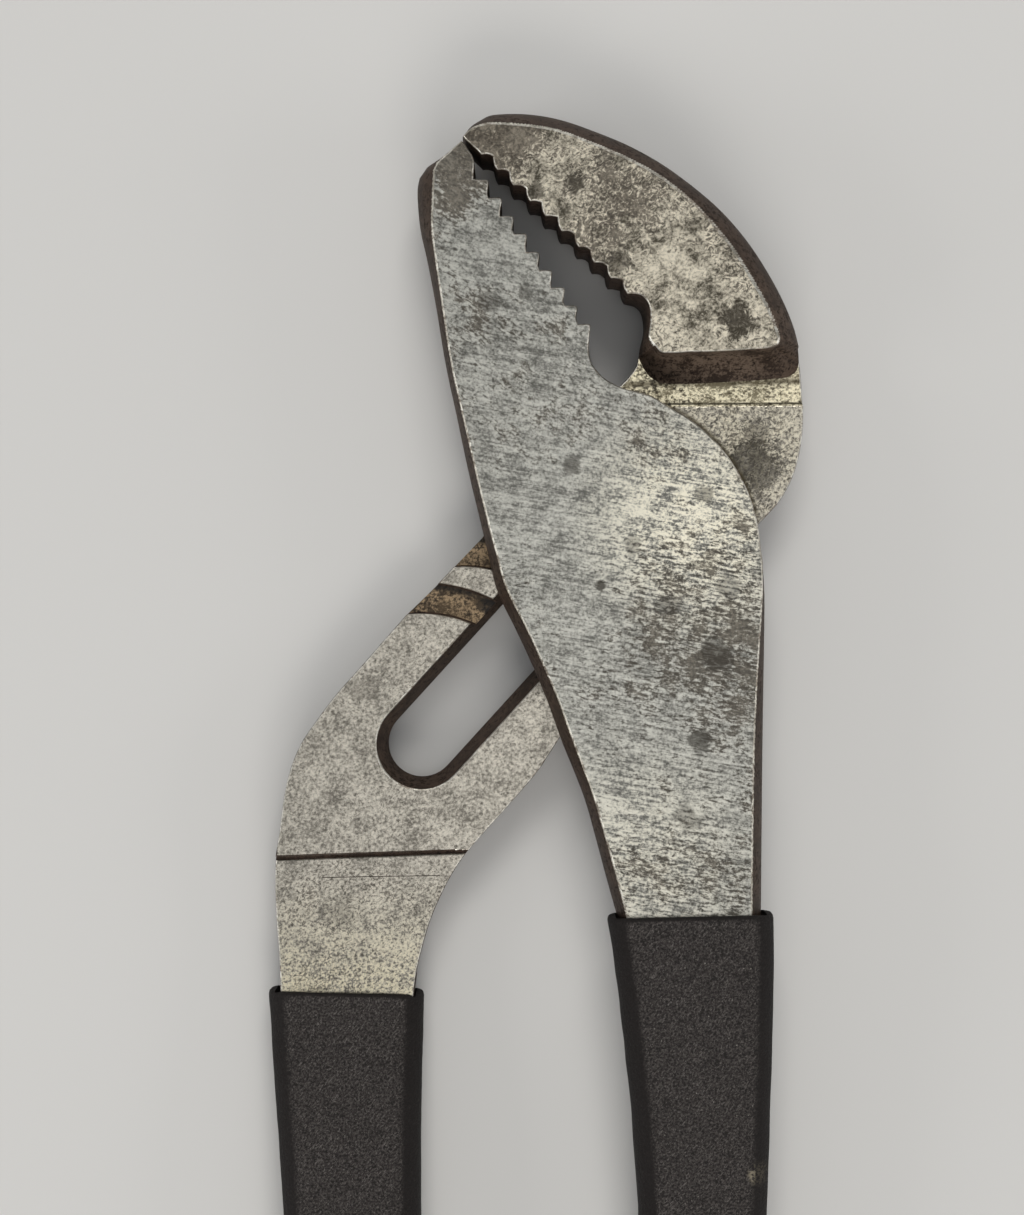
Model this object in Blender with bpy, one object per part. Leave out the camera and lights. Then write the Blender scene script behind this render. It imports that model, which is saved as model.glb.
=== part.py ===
"""Tongue-and-groove slip-joint pliers lying flat, jaws closed on the smallest groove.

Metres in the scene; every size below is in millimetres.  Origin: the pivot axis where it
meets the resting plane.  +Y runs to the jaws, +X to the right, +Z up through the joint.
"""
import math

import bmesh
import bpy
from mathutils import Vector

for old in list(bpy.data.objects):
    bpy.data.objects.remove(old, do_unlink=True)

MM = 0.001

# ---- heights above the resting plane ------------------------------------------------
JOINT_Z = 8.0          # plane where the two members meet
BACK_Z = 1.5           # back face of the steel; the sleeves and the nut reach 0
FACE_Z = 14.5          # ground front face
STEP_Z = 7.1           # handle and strip surface, a step below the joint pad
RUN_GAP = 0.3          # front member floats this far above the pad

# ---- pivot, slot and grooves --------------------------------------------------------
STEPS = 4                              # moves between the five grooves
PITCH = (6.15, 6.75)                   # one groove to the next
SLOT_LOW = (-STEPS * PITCH[0], -STEPS * PITCH[1])
SLOT_R_FRONT, SLOT_R_BACK = 6.5, 4.9   # the slot narrows towards the back
CHANNEL_R, CHANNEL_Z = 8.25, 3.5       # wide channel at the back for washer and nut
GROOVE_IN, GROOVE_OUT, GROOVE_DEEP = 18.8, 23.3, 1.8
GROOVE_FROM, GROOVE_TO = 58, 103       # degrees round each groove's own centre
TONGUE_FROM, TONGUE_TO = 68, 96
TONGUE_Z = 8.1                         # the tongue ends just clear of the lands

STUD_R, STUD_TOP = 4.6, 11.8
THREAD_R = 3.0
NUT_FLATS, NUT_Z = 11.0, 2.0
WASHER_R, WASHER_Z = 7.95, (2.15, 3.35)

# ---- sleeves ------------------------------------------------------------------------
SLEEVE_SIDE, SHANK_SIDE = 1.1, 1.4     # sleeve wall at the sides; steel to skin
FRONT_FACE, FRONT_SHANK = 1.3, 1.5     # the same on the two flat sides, front handle
SLOT_FACE, SLOT_SHANK = 1.1, 1.35      # and on the slotted handle
SLOT_LIFT = 0.2                        # its sleeve is thinner in front, thicker behind
SLEEVE_END, SHANK_END = -188.0, -184.5

visible = bpy.data.collections.new("groove_joint_pliers")
cutters = bpy.data.collections.new("cutters")
cutters.hide_render = True
for made in (visible, cutters):
    bpy.context.scene.collection.children.link(made)


def material(name, colour, roughness, metallic):
    m = bpy.data.materials.new(name)
    m.use_nodes = True
    shader = m.node_tree.nodes["Principled BSDF"]
    shader.inputs["Base Color"].default_value = (*colour, 1)
    shader.inputs["Roughness"].default_value = roughness
    shader.inputs["Metallic"].default_value = metallic
    return m


def keep(obj, where):
    for c in list(obj.users_collection):
        c.objects.unlink(obj)
    where.objects.link(obj)
    if where is cutters:
        obj.hide_render = True
        obj.display_type = "WIRE"
    return obj


def loft(name, loops, where=cutters):
    """A closed skin through loops with the same number of points, in mm."""
    bm = bmesh.new()
    rings = [[bm.verts.new(Vector(p) * MM) for p in loop] for loop in loops]
    n = len(rings[0])
    for low, high in zip(rings, rings[1:]):
        for i in range(n):
            j = (i + 1) % n
            bm.faces.new((low[i], low[j], high[j], high[i]))
    bmesh.ops.triangulate(bm, faces=bm.faces[:])
    bm.faces.new(rings[0][::-1])
    bm.faces.new(rings[-1])
    bmesh.ops.recalc_face_normals(bm, faces=bm.faces[:])
    if bm.calc_volume(signed=True) < 0:
        bmesh.ops.reverse_faces(bm, faces=bm.faces[:])
    mesh = bpy.data.meshes.new(name)
    bm.to_mesh(mesh)
    bm.free()
    obj = bpy.data.objects.new(name, mesh)
    where.objects.link(obj)
    return keep(obj, where)


def plate(name, outline, z0, z1, where=cutters):
    """A flat plate of one outline between two heights, as a filled 2D curve."""
    curve = bpy.data.curves.new(name + "_curve", "CURVE")
    curve.dimensions = "2D"
    curve.fill_mode = "BOTH"
    curve.extrude = (z1 - z0) / 2 * MM
    line = curve.splines.new("POLY")
    line.points.add(len(outline) - 1)
    for point, (x, y) in zip(line.points, outline):
        point.co = (x * MM, y * MM, 0, 1)
    line.use_cyclic_u = True
    drawn = bpy.data.objects.new(name + "_curve", curve)
    bpy.context.scene.collection.objects.link(drawn)
    drawn.location.z = (z0 + z1) / 2 * MM
    bpy.context.view_layer.update()
    graph = bpy.context.evaluated_depsgraph_get()
    mesh = bpy.data.meshes.new_from_object(drawn.evaluated_get(graph))
    mesh.transform(drawn.matrix_world)
    bpy.data.objects.remove(drawn, do_unlink=True)
    bm = bmesh.new()
    bm.from_mesh(mesh)
    bmesh.ops.remove_doubles(bm, verts=bm.verts[:], dist=1e-6)
    bmesh.ops.recalc_face_normals(bm, faces=bm.faces[:])
    bm.to_mesh(mesh)
    bm.free()
    mesh.name = name
    obj = bpy.data.objects.new(name, mesh)
    where.objects.link(obj)
    return keep(obj, where)


def drum(name, radius, z0, z1, sides=48, where=cutters, turn=0.0):
    bpy.ops.mesh.primitive_cylinder_add(
        vertices=sides, radius=radius * MM, depth=(z1 - z0) * MM,
        location=(0, 0, (z0 + z1) / 2 * MM), rotation=(0, 0, turn))
    obj = bpy.context.object
    obj.name = name
    obj.data.transform(obj.matrix_world)
    obj.matrix_world.identity()
    return keep(obj, where)


def boolean(obj, other, kind):
    m = obj.modifiers.new(kind.lower(), "BOOLEAN")
    m.operation = kind
    m.object = other
    m.solver = "EXACT"


def bake(obj):
    """Apply the modifiers, so that the next step starts from one plain mesh."""
    bpy.context.view_layer.update()
    graph = bpy.context.evaluated_depsgraph_get()
    mesh = bpy.data.meshes.new_from_object(obj.evaluated_get(graph))
    obj.modifiers.clear()
    obj.data = mesh


def curve_through(points, parts=4):
    """Points on a smooth curve through the given ones, which it keeps."""
    out = []
    for i in range(len(points) - 1):
        p0 = points[max(i - 1, 0)]
        p1, p2 = points[i], points[i + 1]
        p3 = points[min(i + 2, len(points) - 1)]
        for k in range(parts):
            t = k / parts
            out.append(tuple(
                0.5 * (2 * b + (c - a) * t + (2 * a - 5 * b + 4 * c - d) * t * t
                       + (3 * b - a - 3 * c + d) * t ** 3)
                for a, b, c, d in zip(p0, p1, p2, p3)))
    out.append(tuple(points[-1]))
    return out


def arc(centre, radius, a0, a1, parts):
    return [(centre[0] + radius * math.cos(math.radians(a0 + (a1 - a0) * k / parts)),
             centre[1] + radius * math.sin(math.radians(a0 + (a1 - a0) * k / parts)))
            for k in range(parts + 1)]


def stadium(radius, parts=14):
    """The slot's outline: from its low end to the pivot, with round ends."""
    lean = math.degrees(math.atan2(PITCH[1], PITCH[0]))
    return (arc((0, 0), radius, lean - 90, lean + 90, parts)
            + arc(SLOT_LOW, radius, lean + 90, lean + 270, parts))


def inset(points, by):
    """Each point moved inwards along the outline's own normal (outline clockwise or not)."""
    area = sum(a[0] * b[1] - b[0] * a[1] for a, b in zip(points, points[1:] + points[:1]))
    turn = 1 if area > 0 else -1
    out = []
    for i, p in enumerate(points):
        a, b = Vector(points[i - 1]), Vector(points[(i + 1) % len(points)])
        along = (b - a).normalized()
        out.append((p[0] - turn * along.y * by, p[1] + turn * along.x * by))
    return out


def flat(points, z):
    return [(x, y, z) for x, y in points]


def sector(name, centre, r0, r1, a0, a1, z0, z1, parts=16):
    ring = arc(centre, r1, a0, a1, parts) + arc(centre, r0, a1, a0, parts)
    return plate(name, ring, z0, z1)


def between(table, y, column):
    """Straight-line interpolation in a table that runs from high y to low y."""
    if y >= table[0][0]:
        return table[0][column]
    for upper, lower in zip(table, table[1:]):
        if y >= lower[0]:
            t = (upper[0] - y) / (upper[0] - lower[0])
            return upper[column] + (lower[column] - upper[column]) * t
    return table[-1][column]


def rounded(cx, cz, w, h, r, y, parts=5):
    """A rounded rectangle across the handle, in the plane at this y."""
    r = min(r, w / 2 - 0.05, h / 2 - 0.05)
    out = []
    for sx, sz, start in ((1, 1, 0), (-1, 1, 90), (-1, -1, 180), (1, -1, 270)):
        for k in range(parts + 1):
            a = math.radians(start + 90 * k / parts)
            out.append((cx + sx * (w / 2 - r) + r * math.cos(a), y,
                        cz + sz * (h / 2 - r) + r * math.sin(a)))
    return out


# =====================================================================================
# Slotted jaw member: upper jaw, joint pad with slot and grooves, left handle
# =====================================================================================
TOOTH_A = (2.29, -2.18)            # tooth pitch down the upper jaw
teeth_up = []
for i in range(10):
    tip = (-15.9 + TOOTH_A[0] * i, 56.5 + TOOTH_A[1] * i)
    teeth_up.append(tip)
    if i < 9:
        teeth_up.append((tip[0] + 0.8, tip[1] + 0.42))
        teeth_up.append((tip[0] + 1.35, tip[1] + 0.25))

# each row: front-face x, y, then mid-height x, y (the forging swells towards the middle)
JAW_BACK = [
    (-18.35, 58.75, -18.6, 59.3), (-17.4, 60.0, -17.7, 61.3), (-15.6, 60.7, -16.3, 62.6),
    (-13.0, 60.8, -14.2, 63.5), (-7.7, 60.4, -9.4, 63.6), (-4.2, 59.6, -4.6, 62.7),
    (0.0, 58.0, 0.4, 61.0), (4.4, 56.1, 5.2, 59.0), (8.7, 53.8, 9.9, 56.4),
    (13.0, 50.6, 14.6, 53.0), (16.5, 47.0, 18.6, 49.5), (19.4, 43.4, 22.0, 45.6),
    (22.0, 39.3, 24.9, 41.3), (24.2, 35.4, 27.3, 36.9), (25.5, 32.4, 28.9, 33.0),
    (26.1, 30.5, 29.7, 29.9),
]
JAW_BACK = curve_through(JAW_BACK, 2)
JAW_WALL = [
    (25.4, 29.4, 29.4, 27.4), (24.0, 29.2, 28.0, 26.4), (21.3, 29.0, 23.5, 25.9),
    (17.3, 28.7, 18.0, 25.4), (13.0, 28.6, 13.2, 25.1), (10.0, 28.5, 9.8, 25.2),
    (9.0, 28.9, 7.9, 26.1), (8.1, 29.9, 6.4, 27.8),
]
JAW_THROAT = [
    (7.6, 31.1, 6.9, 30.9), (7.9, 32.8, 7.3, 32.7), (7.9, 34.4, 7.4, 34.2),
    (7.7, 35.5, 7.2, 35.2), (7.0, 36.4, 6.7, 36.0), (5.9, 36.9, 5.7, 36.6),
]
jaw_rows = JAW_BACK + JAW_WALL + JAW_THROAT
jaw_face = [(r[0], r[1]) for r in jaw_rows] + teeth_up[::-1]
jaw_mid = [(r[2], r[3]) for r in jaw_rows] + teeth_up[::-1]


def towards(points, share, others):
    return [(a + (c - a) * share, b + (d - b) * share)
            for (a, b), (c, d) in zip(points, others)]


upper_jaw = loft("upper_jaw_block", [
    flat(inset(jaw_mid, 0.4), 6.2), flat(jaw_mid, STEP_Z + 0.05), flat(jaw_mid, JOINT_Z),
    flat(towards(jaw_mid, 0.55, jaw_face), 11.5), flat(jaw_face, FACE_Z)])

# the lower body carries on under the jaw and down to the handle, drafted to the back
LIMB_LEFT = [
    (4.0, 24.6), (-14.0, 4.7), (-22.6, -4.3), (-26.6, -8.2), (-30.2, -12.3), (-33.8, -16.4),
    (-37.0, -20.0), (-39.7, -23.6), (-41.9, -26.9), (-43.4, -30.5), (-44.3, -34.3),
    (-45.0, -39.7), (-45.6, -43.5), (-45.7, -47.7), (-45.5, -52.4), (-45.1, -58.1),
    (-44.9, -64.0), (-44.8, -67.0),
]
LIMB_LEFT = LIMB_LEFT[:4] + curve_through(LIMB_LEFT[4:], 2)
LIMB_RIGHT = [
    (-25.9, -67.0), (-25.8, -64.0), (-25.3, -59.9), (-24.5, -56.5), (-23.4, -52.7),
    (-22.0, -49.3), (-20.2, -45.8), (-17.9, -42.4), (-15.4, -39.5), (-11.8, -35.5),
    (-8.1, -31.2), (-6.2, -28.4), (-4.6, -25.9), (10.0, -9.9), (22.9, 3.6), (25.2, 6.0),
    (27.1, 8.2), (28.8, 11.4), (29.8, 14.8), (30.3, 18.8), (30.3, 22.9), (30.1, 25.9),
]
LIMB_RIGHT = curve_through(LIMB_RIGHT[:13], 2) + curve_through(LIMB_RIGHT[14:], 2)
back_half = jaw_mid[:len(JAW_BACK)][::-1] + teeth_up + [
    (5.7, 36.6), (6.7, 36.0), (7.2, 35.2), (7.4, 34.2), (7.3, 32.7), (6.9, 30.9), (6.4, 27.8)]


body_mid = back_half + LIMB_LEFT + LIMB_RIGHT
n_back = len(JAW_BACK)
body_back = (towards(jaw_mid[:n_back][::-1], 0.85, jaw_face[:n_back][::-1])
             + back_half[n_back:] + inset(body_mid, 0.55)[len(back_half):])
slotted = loft("slotted_jaw_member", [
    flat(body_back, BACK_Z), flat(inset(body_mid, 0.04), STEP_Z - 0.6),
    flat(inset(body_mid, 0.05), STEP_Z)], visible)

edge = inset(body_mid, 0.14)[len(back_half):]
n_left = len(LIMB_LEFT)
PAD = ([(30.15, 21.9), (11.7, 21.6), (1.2, 21.5)]
       + [p for p in edge[:n_left] if -42.9 < p[1] < 21.3] + [(-45.4, -43.2), (-18.0, -42.2)]
       + [p for p in edge[n_left:] if -42.0 < p[1] < 21.7])
pad = loft("joint_pad", [flat(inset(PAD, 0.6), STEP_Z - 1.2), flat(PAD, STEP_Z - 0.1),
                         flat(PAD, JOINT_Z)])

boolean(slotted, upper_jaw, "UNION")
boolean(slotted, pad, "UNION")
bake(slotted)

# =====================================================================================
# Handles: tables of y, centre x, width, centre z, thickness of the finished sleeve
# =====================================================================================
GRIP_A = [  # slotted side
    (-63.0, -35.65, 22.7, 4.10, 8.2), (-69.5, -35.45, 22.1, 4.15, 8.3),
    (-76.5, -35.3, 21.4, 4.55, 9.1), (-84.0, -35.0, 20.6, 5.05, 10.1),
    (-95.0, -34.6, 19.8, 5.4, 10.8), (-112.0, -34.2, 19.2, 5.5, 11.0),
    (-132.0, -34.2, 19.0, 5.5, 11.0), (-158.0, -35.3, 19.2, 5.5, 11.0),
    (-176.0, -36.6, 19.2, 5.5, 11.0), (-184.0, -37.3, 17.0, 5.3, 9.8),
    (-187.0, -37.6, 12.6, 5.1, 7.4), (-188.0, -37.7, 8.4, 5.0, 5.0),
]
GRIP_B = [  # front side
    (-51.0, 13.75, 23.7, 11.4, 9.2), (-57.5, 14.3, 22.8, 11.4, 9.2),
    (-64.3, 14.7, 21.8, 11.1, 9.3), (-70.7, 15.0, 21.0, 10.6, 9.5),
    (-80.0, 15.4, 19.7, 9.6, 9.9), (-94.0, 15.75, 18.4, 8.2, 10.4),
    (-112.0, 16.2, 18.4, 6.7, 10.8), (-132.0, 16.9, 18.6, 5.7, 11.0),
    (-158.0, 18.3, 18.8, 5.5, 11.0), (-176.0, 19.6, 18.8, 5.5, 11.0),
    (-184.0, 20.2, 16.8, 5.3, 9.8), (-187.0, 20.5, 12.4, 5.1, 7.4),
    (-188.0, 20.6, 8.2, 5.0, 5.0),
]


def handle_rows(table, top, bottom, count):
    return [top + (bottom - top) * k / count for k in range(count + 1)]


def run(table, ys, side, face, r, lift=0.0):
    return [rounded(between(table, y, 1), between(table, y, 3) + lift,
                    between(table, y, 2) - 2 * side,
                    between(table, y, 4) - 2 * face, r, y) for y in ys]


def shank(name, table, top, face, lift=0.0):
    ys = handle_rows(table, top, SHANK_END + 3.0, 14)
    rings = run(table, ys, SHANK_SIDE, face, 1.2, lift)
    y, half = SHANK_END, 0.72
    cx, w = between(table, y, 1), (between(table, ys[-1], 2) - 2 * SHANK_SIDE) * half
    h = (between(table, ys[-1], 4) - 2 * face) * 0.8
    rings.append(rounded(cx, between(table, ys[-1], 3) + lift, w, h, 1.2, y))
    return loft(name, rings)


def sleeve(name, table, mouth, face, shank_face, lift=0.0):
    ys = [mouth, mouth - 0.5]
    ys += [row[0] for row in table if row[0] < mouth - 2]
    outer = run(table, ys, 0, 0, 3.6)
    outer[0] = run(table, [mouth], 0.35, 0.35, 3.4)[0]
    skin = loft(name, outer, visible)
    inner_y = [mouth + 3.0] + [row[0] for row in table if SHANK_END + 3 < row[0] < mouth]
    inner_y.append(SHANK_END + 3.0)
    inner = run(table, inner_y, SLEEVE_SIDE, face, 0.3, lift)
    y = SHANK_END - 0.5
    last = inner_y[-1]
    inner.append(rounded(between(table, y, 1), between(table, last, 3) + lift,
                         (between(table, last, 2) - 2 * SHANK_SIDE) * 0.76,
                         (between(table, last, 4) - 2 * shank_face) * 0.86, 1.0, y))
    boolean(skin, loft(name + "_hollow", inner), "DIFFERENCE")
    return skin


boolean(slotted, shank("slotted_shank", GRIP_A, -65.0, SLOT_SHANK, SLOT_LIFT), "UNION")
bake(slotted)

# slot, back channel and grooves
slot_taper = loft("slot_taper", [flat(stadium(SLOT_R_BACK - 0.1), CHANNEL_Z - 0.3),
                                 flat(stadium(SLOT_R_BACK), CHANNEL_Z),
                                 flat(stadium(SLOT_R_FRONT), JOINT_Z),
                                 flat(stadium(SLOT_R_FRONT + 0.3), JOINT_Z + 1.0)])
channel = plate("back_channel", stadium(CHANNEL_R, 18), 0.0, CHANNEL_Z)
boolean(slotted, slot_taper, "DIFFERENCE")
boolean(slotted, channel, "DIFFERENCE")
for k in range(STEPS + 1):
    centre = (-(STEPS - k) * PITCH[0], -(STEPS - k) * PITCH[1])
    boolean(slotted, sector(f"groove_cut_{k + 1}", centre, GROOVE_IN, GROOVE_OUT,
                            GROOVE_FROM, GROOVE_TO, JOINT_Z - GROOVE_DEEP, JOINT_Z + 1.0),
            "DIFFERENCE")
bake(slotted)

# =====================================================================================
# Front jaw member: lower-left jaw, half-thick disc over the pad, right handle
# =====================================================================================
TOOTH_B = (1.79, -2.53)            # tooth pitch down the front jaw
teeth_front = [(-18.6, 58.4), (-16.8, 55.6), (-16.9, 53.1)]
for i in range(9):
    tip = (-14.8 + TOOTH_B[0] * i, 52.7 + TOOTH_B[1] * i)
    teeth_front.append(tip)
    if i < 8:
        teeth_front.append((tip[0] - 0.27, tip[1] - 2.03))

THROAT = [(-0.55, 31.2), (-0.7, 29.4), (-0.5, 27.6), (0.1, 26.3), (1.2, 25.3), (2.5, 24.5),
          (4.1, 23.7), (5.4, 23.3), (7.4, 22.9), (9.2, 22.0)]
DISC = arc((0, 0), 23.5, 64, 6, 12)
RIGHT_FACE = [(23.8, -5.5), (23.4, -12.0), (23.0, -18.5), (22.7, -25.0), (22.5, -33.5),
              (22.3, -50.6), (22.3, -56.5)]
RIGHT_LOW = [(24.6, -5.5), (24.6, -12.0), (24.5, -18.5), (24.4, -25.0), (24.3, -33.5),
             (24.15, -50.6), (24.1, -56.5)]
LEFT_FACE = [(5.8, -56.5), (4.6, -51.0), (3.2, -45.5), (1.6, -39.7), (0.2, -34.9), (-1.2, -30.8),
             (-3.0, -26.1), (-5.0, -20.5), (-7.1, -15.6), (-9.6, -10.1), (-12.3, -4.8),
             (-13.7, 0.0), (-15.2, 5.6), (-16.8, 12.2), (-18.7, 20.5), (-20.2, 27.3),
             (-21.4, 35.2), (-22.4, 42.0), (-22.9, 46.5), (-22.75, 51.5), (-22.6, 54.4),
             (-22.2, 55.4)]
LEFT_LOW = [(4.6, -56.5), (3.45, -51.4), (1.9, -45.8), (0.35, -40.0), (-1.0, -35.2),
            (-2.5, -31.2), (-4.4, -26.5), (-6.4, -20.9), (-8.5, -15.9), (-11.0, -10.5),
            (-13.6, -5.1), (-14.9, 0.1), (-16.3, 5.9), (-17.85, 12.4), (-19.6, 20.7),
            (-21.1, 27.7), (-22.4, 35.6), (-23.7, 42.4), (-24.7, 47.0), (-25.1, 52.0),
            (-24.8, 54.2), (-24.2, 55.2)]

LEFT_FACE, LEFT_LOW = curve_through(LEFT_FACE, 2), curve_through(LEFT_LOW, 2)
JAW_FROM = 30                      # where the jaw's outer edge begins in those two

front_face = teeth_front + THROAT + DISC + RIGHT_FACE + LEFT_FACE
front_low = teeth_front + THROAT + DISC + RIGHT_LOW + LEFT_LOW
front = loft("front_jaw_member", [
    flat(front_low, JOINT_Z + RUN_GAP), flat(towards(front_low, 0.3, front_face), 11.0),
    flat(front_face, FACE_Z)], visible)

# the jaw end is full thickness; its lower half stops short of the slotted limb
left_jaw = list(zip(LEFT_LOW, LEFT_FACE))[JAW_FROM:]
lower_jaw_mid = (teeth_front + [(-0.55, 31.2), (-0.7, 29.4), (-0.7, 26.4), (-19.6, 21.2)]
                 + [low for low, face in left_jaw])
lower_jaw_back = (teeth_front + [(-0.55, 31.2), (-0.7, 29.4), (-0.7, 26.6), (-18.8, 21.6)]
                  + [face for low, face in left_jaw])
lower_jaw = loft("lower_jaw_block", [
    flat(towards(lower_jaw_mid, 0.9, lower_jaw_back), BACK_Z),
    flat(inset(lower_jaw_mid, 0.05), JOINT_Z),
    flat(inset(lower_jaw_mid, 0.4), 10.2)])
boolean(front, lower_jaw, "UNION")
boolean(front, shank("front_shank", GRIP_B, -53.5, FRONT_SHANK), "UNION")
bake(front)

pocket = sector("tongue_relief", (0, 0), 16.6, 27.5, 58, 112, JOINT_Z, JOINT_Z + 1.5)
tongue = sector("tongue", (0, 0), GROOVE_IN + 0.15, GROOVE_OUT - 0.15, TONGUE_FROM,
                TONGUE_TO, TONGUE_Z, JOINT_Z + 2.5, 12)
blind_hole = drum("stud_hole", STUD_R + 0.15, JOINT_Z - 1, STUD_TOP + 0.2)
boolean(front, pocket, "DIFFERENCE")
boolean(front, tongue, "UNION")
boolean(front, blind_hole, "DIFFERENCE")
bake(front)

front_grip = sleeve("front_grip", GRIP_B, -51.0, FRONT_FACE, FRONT_SHANK)
slotted_grip = sleeve("slotted_grip", GRIP_A, -63.0, SLOT_FACE, SLOT_SHANK, SLOT_LIFT)

# =====================================================================================
# Pivot hardware
# =====================================================================================
stud = drum("pivot_stud", THREAD_R, 0.0, CHANNEL_Z + 2.0, 36, visible)
boolean(stud, drum("stud_shoulder", STUD_R, CHANNEL_Z + 0.05, STUD_TOP, 48), "UNION")
bake(stud)

nut = drum("pivot_nut", NUT_FLATS / 2 / math.cos(math.radians(30)), 0.0, NUT_Z, 6, visible,
           math.radians(12))
nut_round = loft("nut_corners", [
    [(r * math.cos(math.radians(7.5 * k)), r * math.sin(math.radians(7.5 * k)), z)
     for k in range(48)] for r, z in ((5.35, -0.4), (6.55, 0.55), (6.6, NUT_Z + 0.5))])
boolean(nut, nut_round, "INTERSECT")
boolean(nut, drum("nut_bore", THREAD_R + 0.2, -1.0, NUT_Z + 1.0, 36), "DIFFERENCE")
bake(nut)

washer = drum("thrust_washer", WASHER_R, *WASHER_Z, 48, visible)
boolean(washer, drum("washer_bore", THREAD_R + 0.2, 1.0, 5.0, 36), "DIFFERENCE")
bake(washer)

steel = material("ground_steel", (0.36, 0.35, 0.33), 0.38, 1.0)
steel_b = material("satin_steel", (0.40, 0.38, 0.34), 0.42, 1.0)
dark = material("fastener_steel", (0.20, 0.19, 0.18), 0.5, 1.0)
foam = material("black_foam_rubber", (0.018, 0.018, 0.019), 0.85, 0.0)
for obj, look in ((front, steel), (slotted, steel_b), (stud, dark), (nut, dark),
                  (washer, dark), (front_grip, foam), (slotted_grip, foam)):
    obj.data.materials.clear()
    obj.data.materials.append(look)
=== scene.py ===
"""Groove-joint slip pliers: the visible model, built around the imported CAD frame.

All shape numbers are millimetres about the pivot axis, z up from the resting plane.
"""
import math
import random

import bmesh
import bpy
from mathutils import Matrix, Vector, noise


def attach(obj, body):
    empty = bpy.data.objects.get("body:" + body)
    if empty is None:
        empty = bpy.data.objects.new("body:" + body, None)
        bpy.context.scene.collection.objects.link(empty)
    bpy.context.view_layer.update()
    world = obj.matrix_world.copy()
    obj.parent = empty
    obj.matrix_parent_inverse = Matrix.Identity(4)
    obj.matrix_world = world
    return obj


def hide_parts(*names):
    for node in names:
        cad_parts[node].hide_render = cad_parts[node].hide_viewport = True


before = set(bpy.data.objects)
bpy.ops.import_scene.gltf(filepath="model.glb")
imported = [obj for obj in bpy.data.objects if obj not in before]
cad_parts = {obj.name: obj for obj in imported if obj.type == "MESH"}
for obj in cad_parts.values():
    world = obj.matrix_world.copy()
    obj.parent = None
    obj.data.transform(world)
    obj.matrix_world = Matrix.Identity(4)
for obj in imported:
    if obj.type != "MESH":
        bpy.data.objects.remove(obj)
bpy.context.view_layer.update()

MM = 0.001
# heights: back face, low step of the slotted member, its joint face, and the ground front face
BACK_Z, STEP_Z, JOINT_Z, FACE_Z = 1.5, 7.1, 8.0, 14.5
RUN_GAP = 0.3                         # running gap between the two members
STEPS = 4                             # steps of the adjustment
PITCH = (6.15, 6.75)                  # one step along the slot
SLOT_LOW = (-STEPS * PITCH[0], -STEPS * PITCH[1])
CHANNEL_Z = 3.5                       # floor of the channel behind the slot
GROOVE_IN, GROOVE_OUT, GROOVE_Z = 18.8, 23.3, 6.2
GROOVE_FROM, GROOVE_TO = 58.0, 103.0  # the grooves' angles about each step's own centre
GROOVE_CENTRES = [(-k * PITCH[0], -k * PITCH[1]) for k in range(STEPS, -1, -1)]
SHANK_END = -184.5


# ======== outline helpers
def spline(points, parts):
    """Points on a smooth curve through the given ones (any number of columns)."""
    out = []
    for i in range(len(points) - 1):
        p0, p1, p2 = points[max(i - 1, 0)], points[i], points[i + 1]
        p3 = points[min(i + 2, len(points) - 1)]
        for k in range(parts):
            t = k / parts
            out.append(tuple(
                0.5 * (2 * b + (c - a) * t + (2 * a - 5 * b + 4 * c - d) * t * t
                       + (3 * b - a - 3 * c + d) * t ** 3)
                for a, b, c, d in zip(p0, p1, p2, p3)))
    out.append(tuple(points[-1]))
    return out


def dense(rows, step):
    """Split the straight pieces of a closed outline so that none is longer than step."""
    out = []
    for a, b in zip(rows, rows[1:] + rows[:1]):
        n = max(1, math.ceil(math.dist(a[:2], b[:2]) / step))
        out += [tuple(p + (q - p) * k / n for p, q in zip(a, b)) for k in range(n)]
    return out


def arc(centre, radius, a0, a1, parts):
    angles = [math.radians(a0 + (a1 - a0) * k / parts) for k in range(parts + 1)]
    return [(centre[0] + radius * math.cos(a), centre[1] + radius * math.sin(a)) for a in angles]


def toward(a, b, share):
    """The point that is a share of the way from one to another."""
    return a[0] + (b[0] - a[0]) * share, a[1] + (b[1] - a[1]) * share


def line(a, b, step=1.0):
    """The points between two ends of a straight line, without the ends."""
    n = max(1, math.ceil(math.dist(a, b) / step))
    return [(a[0] + (b[0] - a[0]) * k / n, a[1] + (b[1] - a[1]) * k / n) for k in range(1, n)]


def unloop(points):
    """Pull straight the small loops that an inset makes at a sharp corner."""
    def crossing(a, b, c, d):
        ux, uy, vx, vy = b[0] - a[0], b[1] - a[1], d[0] - c[0], d[1] - c[1]
        den = ux * vy - uy * vx
        if abs(den) < 1e-12:
            return None
        t = ((c[0] - a[0]) * vy - (c[1] - a[1]) * vx) / den
        u = ((c[0] - a[0]) * uy - (c[1] - a[1]) * ux) / den
        return t if -1e-9 < t < 1 and -1e-9 < u < 1 else None

    n = len(points)
    out = list(points)
    for reach in (4, 3, 2):
        for i in range(n):
            a, b = out[i], out[(i + 1) % n]
            c, d = out[(i + reach) % n], out[(i + reach + 1) % n]
            t = crossing(a, b, c, d)
            if t is None:
                continue
            meeting = toward(a, b, t)
            for k in range(1, reach + 1):
                f = 0.12 * (k - (reach + 1) / 2) / (reach + 1)
                out[(i + k) % n] = toward(meeting, a if f < 0 else d, abs(f))
    return out


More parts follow.
